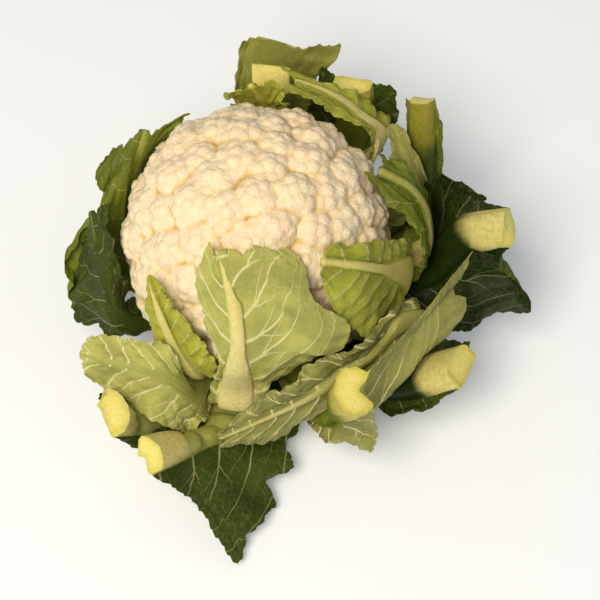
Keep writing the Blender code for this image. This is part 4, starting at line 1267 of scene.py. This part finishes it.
def side_veins(along, far, length, spacing, rng):
    """Number and strength, per group, on one side of the rib. Lower veins are stronger, and all thin out."""
    starts, leans, fork_at = vein_lines(length, spacing, rng)
    column = np.arange(len(starts))[:, None, None]
    past = far - fork_at[:, None, None]
    centres = starts[:, None, None] + leans[:, None, None] * far + VEIN_BEND * far**2
    for height, wave, turn in STRAYS:
        centres = centres + height * np.sin(far / wave + turn * column)
    sizes = np.clip(VEIN_SIZES[1] - VEIN_WANES * starts / length, *VEIN_SIZES)
    sizes *= starts > FIRST_VEIN * length
    thinner = np.clip(OUTWARD_SIZES[1] - far / OUTWARD_WANES, *OUTWARD_SIZES)
    groups = []
    for lean in (0.0, FORK_LEAN, -FORK_LEAN):
        number = numbered(along, centres + lean * past)
        nearest = np.rint(number).astype(int)
        strength = sizes[nearest] * thinner
        if lean:
            own = far - fork_at[nearest]
            fading = np.sqrt(np.clip(1.0 - own / FORK_REACH, 0.0, 1.0))
            strength = FORK_SIZE * strength * (own > 0.0) * fading
        groups.append((number, strength))
    return groups


def leaf_veins(along, beyond, spacing, rng):
    """Both sides of the rib put together: a number and a strength for each group of veins."""
    length = along.max()
    sides = [side_veins(along, np.abs(beyond), length, spacing, rng) for _ in range(2)]
    pairs = zip(VEIN_GROUPS, *sides)
    right = beyond > 0.0
    return {name: tuple(np.where(right, *both) for both in zip(a, b)) for name, a, b in pairs}


print("a leaf 100 mm long has", len(vein_lines(100.0, 15.0, np.random.default_rng(0))[0]), "lines a side")

# %% [markdown]
# ## The thick of the leaf
#
# The sheet gets two faces. The blade thins towards the margin and swells between the veins, which stand out
# on the outer face. The rib is a half round on its thick side, with faint ridges along it. A rib that was
# cut short shows its thick side inside, as the solid does. Towards the margin the whole leaf is crimped in
# small waves.

# %% Two faces
# front and back: colours of the inner and the outer face. foot and rib: colours of the midrib at the stem
# and at its end; a dark foot is painted shade of the hollow round the stem.
# whiteness: how much the veins stand out in colour. vein: half their width in mm. spacing: mm between side
# veins. teeth and torn: depths of the teeth of margin and end in mm. crimp: height of the small waves in mm.
Looks = namedtuple("Looks", "front back foot rib whiteness vein spacing teeth torn crimp seed")
COLOURS = {
    # The first colour is near black: painted shade for leaf faces and rib feet that lie in the dark hollow on
    # the right.
    "hollow_shade": (0.010, 0.022, 0.002),
    "dark": (0.040, 0.062, 0.006),
    "mid": (0.14, 0.18, 0.016),
    "olive": (0.21, 0.22, 0.045),
    "fresh": (0.33, 0.36, 0.045),
    "pale": (0.39, 0.41, 0.11),
    "dusty": (0.25, 0.26, 0.075),
    "moss": (0.29, 0.27, 0.035),
    "lime": (0.41, 0.43, 0.055),
    "ivory": (0.90, 0.82, 0.40),
    "cream": (0.66, 0.60, 0.22),
    "yellow": (0.62, 0.55, 0.13),
    "leek": (0.36, 0.38, 0.10),
}
SMALL = (1.0, 1.3, 0.7)
DEEP = (3.4, 1.8, 0.8)
STRAIGHT = (0.4, 0.5, 0.3)
# The near black first colour, on the inner face of Leaf_Right and on the rib feet of Leaf_Right and
# Leaf_LowerRightCut, is painted shade.
LOOKS = {
    "Leaf_RightInner": Looks("fresh", "fresh", "yellow", "cream", 0.7, 0.8, 13.0, SMALL, SMALL, 0.6, 2),
    "Leaf_CurlRight": Looks("mid", "mid", "cream", "leek", 0.4, 0.5, 18.0, DEEP, DEEP, 1.3, 3),
    "Leaf_PaleUpperRight": Looks("dusty", "dusty", "leek", "dusty", 0.4, 0.5, 15.0, SMALL, SMALL, 0.5, 4),
    "Leaf_OverTop": Looks("fresh", "fresh", "ivory", "cream", 0.5, 0.6, 15.0, SMALL, SMALL, 0.8, 5),
    "Leaf_BackFrill": Looks("lime", "lime", "yellow", "yellow", 0.4, 0.5, 12.0, DEEP, DEEP, 1.8, 6),
    "Leaf_FrontLeftNarrow": Looks("lime", "lime", "cream", "cream", 0.5, 0.6, 12.0, SMALL, SMALL, 0.6, 7),
    "Leaf_FrontBroad": Looks("pale", "pale", "ivory", "cream", 1.1, 1.7, 18.0, SMALL, DEEP, 0.7, 8),
    "Leaf_Left": Looks("dark", "dark", "dark", "mid", 0.35, 0.5, 17.0, DEEP, DEEP, 1.2, 9),
    "Leaf_UpperRight": Looks("dark", "dark", "mid", "yellow", 0.25, 0.5, 16.0, SMALL, SMALL, 0.8, 10),
    "Leaf_FrontBent": Looks("dusty", "dusty", "leek", "cream", 0.9, 1.1, 14.0, SMALL, DEEP, 0.9, 11),
    "Leaf_FrontRightCut": Looks("dusty", "dusty", "mid", "yellow", 0.9, 1.1, 15.0, SMALL, SMALL, 0.8, 12),
    "Leaf_Right": Looks("hollow_shade", "dark", "hollow_shade", "cream", 0.3, 0.5, 19.0, SMALL, SMALL, 0.9, 13),
    "Leaf_FrontLeft": Looks("pale", "pale", "leek", "leek", 1.1, 1.2, 13.0, SMALL, SMALL, 0.8, 14),
    "Leaf_Back": Looks("olive", "olive", "olive", "leek", 0.35, 0.5, 18.0, STRAIGHT, SMALL, 0.5, 15),
    "Leaf_UpperLeft": Looks("mid", "mid", "mid", "leek", 0.35, 0.5, 16.0, DEEP, DEEP, 1.1, 16),
    "Leaf_TallRib": Looks("mid", "dark", "dark", "moss", 0.3, 0.5, 16.0, STRAIGHT, STRAIGHT, 0.1, 17),
    "Leaf_LowerRightCut": Looks("dark", "dark", "hollow_shade", "cream", 0.35, 0.5, 16.0, SMALL, SMALL, 0.7, 18),
    "Leaf_LowerLeftCut": Looks("dark", "dark", "leek", "cream", 0.35, 0.5, 16.0, SMALL, SMALL, 0.7, 19),
    "Leaf_FrontDrooping": Looks("dark", "dark", "leek", "cream", 0.45, 1.1, 24.0, DEEP, SMALL, 0.35, 20),
}
BLADE_HALF = 0.6  # mm, half the blade's thickness beside the rib
MARGIN_HALF = 0.34  # mm, half of it at the margin
CRIMP_LENGTHS = (17.0, 7.4)  # mm of the broad and the narrow waves of a margin
NARROW_HEIGHT = 0.5  # height of the narrow waves as a share of the broad ones'
NARROW_TURN = 3.0  # radians by which a narrow wave turns from the rib to the margin
CRIMP_UNEVEN = 0.3  # share by which the waves of one half are higher, and those of the other lower
CRIMP_RISE = (4.0, 0.9)  # how steeply the crimp sets in along the leaf, and what delays it
VEIN_PROUD = 0.55  # mm by which a vein stands out on the outer face
VEIN_SUNK = 0.12  # mm by which it is sunk in on the inner face
VEIN_ROUND = 1.7  # mm to either side over which a vein stands out
PUCKER = 0.9  # mm by which the blade swells between two veins
PUCKER_POWER = 1.5
SWELLING = 0.45  # mm, height of the small swellings
SWELLING_WANES = 0.4  # share of it that is lost at the margin
SWELLS = ((3.1, 9.0), (5.3, -7.0))  # mm along the rib for each radian, and radians from the rib to the margin
BLADE_RISE = 4.0  # 1 / share of a half's width within which swellings reach their height
VEINS_WANE = 0.6  # share of a vein's height that is lost at the margin
RIDGE = 0.04  # mm for each millimetre of a rib's thickness
RIDGE_WIDTH = 2.7  # mm
RIDGED_RIB = 4.0  # mm of thickness from which the ridges grow no higher
CUT_SLOPE_ROWS = 1.6  # rows of the net over which a rib that was cut across thins out


def crimped(sheet, looks, blade, along, rng):
    """Waves across the margin, and soft swellings: sums of sines of the length along the rib."""
    phases = rng.uniform(0.0, 2.0 * math.pi, 6)
    broad, narrow = CRIMP_LENGTHS
    waves = np.sin(2.0 * math.pi * along / broad + phases[0]) * blade**2
    narrow_phase = phases[1] + NARROW_TURN * blade
    waves += NARROW_HEIGHT * np.sin(2.0 * math.pi * along / narrow + narrow_phase) * blade**4
    side = np.sign(np.linspace(1.0, -1.0, sheet.shape[1]))
    waves *= 1.0 + CRIMP_UNEVEN * side
    swell = 1.0
    for (length, turn), phase in zip(SWELLS, phases[2:]):
        swell = swell * np.sin(along / length + turn * blade + phase)
    fullness = np.minimum(blade * BLADE_RISE, 1.0) * (1.0 - SWELLING_WANES * blade)
    lift = looks.crimp * waves + SWELLING * swell * fullness
    rise = np.clip(along / along.max() * CRIMP_RISE[0] - CRIMP_RISE[1], 0.0, 1.0)
    return sheet + normals_of(sheet) * (lift * rise)[..., None]


def vein_relief(groups, spacing, blade):
    """How much a vein stands out at each point, and how far the blade swells between the side veins."""
    proud = np.zeros_like(groups["vein"][0])
    for number, strength in groups.values():
        off = np.abs(number - np.rint(number)) * spacing
        proud = np.maximum(proud, np.minimum(strength, 1.0) * bell(off, VEIN_ROUND))
    number, strength = groups["vein"]
    away = 2.0 * np.abs(number - np.rint(number))
    fullness = np.minimum(strength, 1.0) * np.minimum(BLADE_RISE * blade, 1.0)
    return proud * (blade > 0.0), away**PUCKER_POWER * fullness


def thick_faces(leaf, sheet, places, u, veins, bulge, across):
    """Outer and inner points: half the blade's thickness, the two sides of the rib, and the veins."""
    rib_share = np.minimum(np.abs(places), 1.0)
    blade = np.maximum(np.abs(places) - 1.0, 0.0)
    taper = u**RIB_TAPER
    ring = leaf.base[1]
    ends = math.floor(leaf.cut * LEAF_ROWS + 1e-6) / LEAF_ROWS
    thick = np.clip((ends - u) * LEAF_ROWS / CUT_SLOPE_ROWS + 1.0, 0.0, 1.0)
    fullest = (RING_DEPTHS[ring] + (leaf.depth - RING_DEPTHS[ring]) * taper) * thick
    outer, inner = rib_sides(leaf, fullest, leaf.inner * taper * thick)
    profile = np.cbrt(1.0 - rib_share**3)
    ridges = RIDGE * np.cos(2.0 * math.pi * across / RIDGE_WIDTH) * profile
    ridges = ridges * np.minimum(fullest, RIDGED_RIB)[:, None]
    half = BLADE_HALF + (MARGIN_HALF - BLADE_HALF) * blade
    outward = normals_of(sheet)
    standing = VEIN_PROUD * veins * (1.0 - VEINS_WANE * blade)
    out = half + outer[:, None] * profile + ridges + standing - PUCKER * bulge
    within = half + inner[:, None] * profile + ridges - VEIN_SUNK * veins + PUCKER * bulge
    return sheet + outward * out[..., None], sheet - outward * within[..., None], thick


print("a blade is %.1f mm thick at the rib and %.1f mm at its margin" % (2 * BLADE_HALF, 2 * MARGIN_HALF))

# %% [markdown]
# ## The edge and the cut end
#
# The two faces are joined by a rounded strip that runs all round the leaf. At the stem end the petiole runs
# on into the stem. Where the rib was cut, the same strip is the flat cut face: it gets several steps from
# face to face, so that the finish can draw the pale heart inside the green skin.

# %% Close the edge
RIM_STEPS = 7
STEM_OVERLAP = 4.0  # mm that a petiole runs on into the stem


def rim_order(rows, columns):
    """Numbers of the grid's border points, once round: stem end, margin b, far end, margin a."""
    number = np.arange(rows * columns).reshape(rows, columns)
    return np.concatenate([number[0, :-1], number[:-1, -1], number[-1, :0:-1], number[:0:-1, 0]])


def inner_neighbours(rows, columns):
    """For each border point, in the same order, the point just inside it."""
    number = np.arange(rows * columns).reshape(rows, columns)
    return np.concatenate([number[1, :-1], number[:-1, -2], number[-2, :0:-1], number[:0:-1, 1]])


def closed_leaf(outer, inner, flat):
    """Points and faces of both faces and of the strip between them, which bows out except on cut ends."""
    rows, columns = outer.shape[:2]
    count = rows * columns
    outer, inner = outer.reshape(-1, 3), inner.reshape(-1, 3)
    border = rim_order(rows, columns)
    away = outer[border] - outer[inner_neighbours(rows, columns)]
    away /= np.maximum(np.linalg.norm(away, axis=1), 1e-6)[:, None]
    gap = np.linalg.norm(inner[border] - outer[border], axis=1)
    share = (np.arange(1, RIM_STEPS) / RIM_STEPS)[:, None, None]
    bow = np.sqrt(1.0 - (2.0 * share - 1.0) ** 2) * (gap * 0.5 * (1.0 - flat))[:, None]
    strip = outer[border] * (1.0 - share) + inner[border] * share + away * bow
    number = np.arange(count).reshape(rows, columns)
    loops = np.vstack([border, 2 * count + np.arange(strip.shape[0] * len(border)).reshape(-1, len(border)),
                       border + count])
    loops = np.column_stack([loops, loops[:, 0]])
    faces = np.vstack([grid_faces(number), grid_faces(number)[:, ::-1] + count, grid_faces(loops)[:, ::-1]])
    return np.vstack([outer, inner, strip.reshape(-1, 3)]), faces, border


print("the strip round an edge takes", RIM_STEPS, "steps")

# %% [markdown]
# ## The finish of a leaf
#
# The outer face is dull with wax and the inner one is glossier. Ribs and veins are cream to pale green, and
# the cut ends are bright yellow-green round a paler heart. The mesh carries a number for each of these, and
# the finish only blends colours by them. Two scales of clouds keep the greens alive, and the edges of small
# cells draw the net of the finest veins.

# %% Finish of the leaves
VEIN_PALE = (0.70, 0.68, 0.36)
# A dark foot colour, held on the inner face up to these shares of the length, is painted shade of the hollow
# round the stem.
RIB_PALES = (0.84, 0.97)  # shares of the length over which the foot's colour passes into the rib's
RIB_PALES_BEHIND = (0.3, 1.05)  # the same on the outer face
CUT_SKIN = (0.56, 0.55, 0.08)
CUT_HEART = (0.84, 0.74, 0.25)
CLOUD_CELL = 26.0  # mm
SPECK_CELL = 2.6  # mm
NET_CELL = 4.2  # mm
NET_WARP = 0.0035  # metres by which the net is bent out of shape, at most
NET_WARP_SCALE = 160.0
NET_STRENGTH = 0.35
VEIN_STRENGTH = 0.85
SPECK_STRENGTH = 0.3
RIB_SPECKS = 0.2
HEART_SPECKS = 0.4


def between(colour, other, share):
    return tuple(a + (b - a) * share for a, b in zip(colour, other))


def times(colour, factor):
    return tuple(part * factor for part in colour)


def drawn_veins(finish, looks):
    """1 on the veins of all groups and 0 beside them; each is as wide as its strength says."""
    shares = []
    for group in VEIN_GROUPS:
        off = finish.add("Math", {"operation": "PINGPONG"}, {0: finish.field(group), 1: 0.5})
        inside = finish.field(group + "_size") - off * (looks.spacing / looks.vein)
        shares.append(finish.stretch(inside, 0.0, 0.7))
    return finish.largest(finish.largest(shares[0], shares[1]), shares[2])


def leaf_finish(name, looks):
    glow = {"Subsurface Weight": 0.05, "Subsurface Scale": 0.002, "Specular IOR Level": 0.16}
    finish = Finish(name + "_finish", glow)
    front, back = COLOURS[looks.front], COLOURS[looks.back]
    behind = finish.field("back")
    vein = drawn_veins(finish, looks)
    rib = finish.field("rib")
    cut = finish.field("cut")
    clouds = finish.stretch(finish.noise(CLOUD_CELL, 3.0), 0.35, 0.65)
    specks = finish.stretch(finish.noise(SPECK_CELL, 3.0), 0.35, 0.7)
    upper = finish.blend(clouds, times(front, 0.75), times(front, 1.2))
    under = finish.blend(clouds, times(back, 0.8), times(back, 1.2))
    blade = finish.blend(behind, upper, under)
    blade = finish.blend(specks * SPECK_STRENGTH, blade, between(back, front, 0.5))
    bends = finish.add("TexNoise", None, {"Vector": finish.place, "Scale": NET_WARP_SCALE}, "Color")
    warped = finish.add("VectorMath", {"operation": "MULTIPLY_ADD"},
                        {0: bends, 1: (NET_WARP, NET_WARP, NET_WARP), 2: finish.place})
    cells = finish.add("TexVoronoi", {"feature": "DISTANCE_TO_EDGE"},
                       {"Vector": warped, "Scale": 1.0 / (NET_CELL * MM)}, "Distance")
    net = finish.stretch(cells, 0.0, 0.07, 1.0, 0.0)
    blade = finish.blend(net * NET_STRENGTH * looks.whiteness, blade, between(back, VEIN_PALE, 0.4))
    blade = finish.blend(vein * (VEIN_STRENGTH * looks.whiteness), blade, VEIN_PALE)
    # The foot's colour, which is painted shade of the hollow where it is dark, runs far up the rib on the
    # inner face and passes sooner into the rib's colour on the outer face.
    length = finish.field("along") + 0.05 * (clouds - 0.5)
    pale_end = finish.stretch(length, *RIB_PALES)
    pale_end = pale_end + behind * (finish.stretch(length, *RIB_PALES_BEHIND) - pale_end)
    rib_colour = finish.blend(pale_end, COLOURS[looks.foot], COLOURS[looks.rib])
    rib_colour = finish.blend(specks * RIB_SPECKS, rib_colour, back)
    blade = finish.blend(rib, blade, rib_colour)
    heart = finish.blend(finish.field("heart"), CUT_SKIN, CUT_HEART)
    heart = finish.blend(specks * HEART_SPECKS, heart, between(CUT_SKIN, CUT_HEART, 0.4))
    finish.feed(finish.shader.inputs["Base Color"], finish.blend(cut, blade, heart))
    finish.feed(finish.shader.inputs["Roughness"], 0.42 + 0.16 * behind + 0.08 * specks - 0.12 * cut)
    finish.relief(0.5 * finish.noise(1.6, 3.0) + 0.5 * finish.noise(4.5, 2.0) - 0.5 * net, 0.28)
    return finish.material


print("the leaves use", len(COLOURS), "colours")

# %% [markdown]
# ## All the leaves
#
# Each leaf goes through the same steps: fill its net, cut its margins, crimp it, give it two faces with
# ribs and veins, close the edge and dress it. A last step holds every point inside the box of the solids.

# %% Grow the leaves
THIN_RIB = 4.0  # mm of half width, below which a midrib is a thin one
NARROW_RIB = (2.2, 0.6)  # place across the leaf up to which a thin midrib is pale, at the stem and at its end
RIB_FADE = 0.4
HALO_WIDTHS = (1.0, 3.0)  # mm beside a rib that its colour runs out over at its end, and more at the stem
HALO_POWER = 1.5
HALO_STRENGTH = 0.8
FLANK = 0.97  # place across the rib at which a cut slope ends
OFF_RIB = 0.5  # place from which veins are drawn
HEAVY_RIB = 2.0  # mm inside, above which a slope shows as a cut
STEM_STEEPNESS = 12.0  # 1 / share of the length over which a petiole bends into the stem
BOX_CLEARANCE = 0.02  # mm


def held_in_box(points, margin):
    low, high = (np.array(corner) / MM for corner in SOLID_BOX)
    return np.clip(points, low + margin, high - margin)


def grown_leaf(leaf):
    looks = LOOKS[leaf.name]
    rng = np.random.default_rng(looks.seed)
    places = fine_places()
    u = np.linspace(0.0, 1.0, LEAF_ROWS * ROW_STEPS + 1)
    sheet = toothed(filled(NETS[leaf.name]), looks, places, u, rng)
    blade = np.maximum(np.abs(places) - 1.0, 0.0)
    middle = len(places) // 2
    along = np.repeat(lengths_from(sheet, 0)[:, middle][:, None], len(places), axis=1)
    sheet = crimped(sheet, looks, blade, along, rng)
    across = lengths_from(sheet, 1)
    across = across[:, middle][:, None] - across
    flank = np.abs(across[:, middle - len(RIB_PLACES) + 1])[:, None]
    beyond = np.sign(across) * np.maximum(np.abs(across) - flank, 0.0)
    groups = leaf_veins(along, beyond, looks.spacing, rng)
    veins, bulge = vein_relief(groups, looks.spacing, blade)
    inward = np.array([math.cos(math.radians(leaf.base[0])), math.sin(math.radians(leaf.base[0])), 0.0])
    into_stem = STEM_OVERLAP * np.clip(1.0 - u * STEM_STEEPNESS, 0.0, 1.0)
    sheet = sheet - inward * into_stem[:, None, None]
    outer, inner, thick = thick_faces(leaf, sheet, places, u, veins, bulge, across)
    outer, inner = held_in_box(outer, BOX_CLEARANCE), held_in_box(inner, BOX_CLEARANCE)
    return places, u, beyond, groups, outer, inner, thick


def leaf_fields(leaf, places, u, beyond, groups, thick, border, rim_rows):
    """The numbers that the finish reads, for the outer face, the inner face and the strip round the edge."""
    shape = (len(u), len(places))
    halo_width = HALO_WIDTHS[0] + HALO_WIDTHS[1] * (1.0 - u[:, None])
    halo = HALO_STRENGTH * np.clip(1.0 - np.abs(beyond) / halo_width, 0.0, 1.0) ** HALO_POWER
    rib = np.where(np.abs(places) <= 1.0, 1.0, halo) * (thick > 0.0)[:, None]
    pale_edge = NARROW_RIB[0] + (NARROW_RIB[1] - NARROW_RIB[0]) * u[:, None]
    if leaf.half_width < THIN_RIB:
        rib = rib * np.clip((pale_edge - np.abs(places)) / RIB_FADE, 0.0, 1.0)
    sloping = ((thick > 0.0) & (thick < 1.0))[:, None] & (np.abs(places) < FLANK)
    along = np.repeat(u[:, None], len(places), axis=1)
    ends = np.zeros(shape)
    if leaf.stub > 0.0:
        ends[-1] = np.abs(places) <= 1.0
    edge_share = np.arange(1, RIM_STEPS) / RIM_STEPS
    round_heart = (1.0 - np.abs(places) ** 3).clip(0.0)[border % len(places)]
    heart = np.outer(1.0 - np.abs(2.0 * edge_share - 1.0) ** 2, round_heart)
    zero = np.zeros(shape)
    sheets = {"back": (zero + 1.0, zero), "rib": (rib, rib), "along": (along, along),
              "cut": (zero, sloping * (leaf.inner > HEAVY_RIB)), "heart": (zero, sloping)}
    off_rib = np.abs(places) > OFF_RIB
    for group, (number, strength) in groups.items():
        sheets[group] = (number, number)
        sheets[group + "_size"] = (strength * off_rib, strength * off_rib)
    fields = {}
    for name, (first, second) in sheets.items():
        rim = np.repeat((0.5 * (first + second)).ravel()[border][None], rim_rows, axis=0)
        if name == "cut":
            rim = np.repeat(ends.ravel()[border][None], rim_rows, axis=0)
        elif name == "heart":
            rim = heart
        fields[name] = np.concatenate([np.ravel(first), np.ravel(second), rim.ravel()])
    return fields


def grow(leaf):
    places, u, beyond, groups, outer, inner, thick = grown_leaf(leaf)
    border = rim_order(len(u), len(places))
    ends = np.zeros((len(u), len(places)))
    ends[-1] = (np.abs(places) <= 1.0) * (leaf.stub > 0.0)
    points, faces, border = closed_leaf(outer, inner, ends.ravel()[border])
    fields = leaf_fields(leaf, places, u, beyond, groups, thick, border, RIM_STEPS - 1)
    finish = leaf_finish(leaf.name, LOOKS[leaf.name])
    add_piece(leaf.name.replace("Leaf_", "Blade_"), held_in_box(points, 0.0), faces, finish, leaf.name,
              fields)


for leaf in LEAVES:
    grow(leaf)
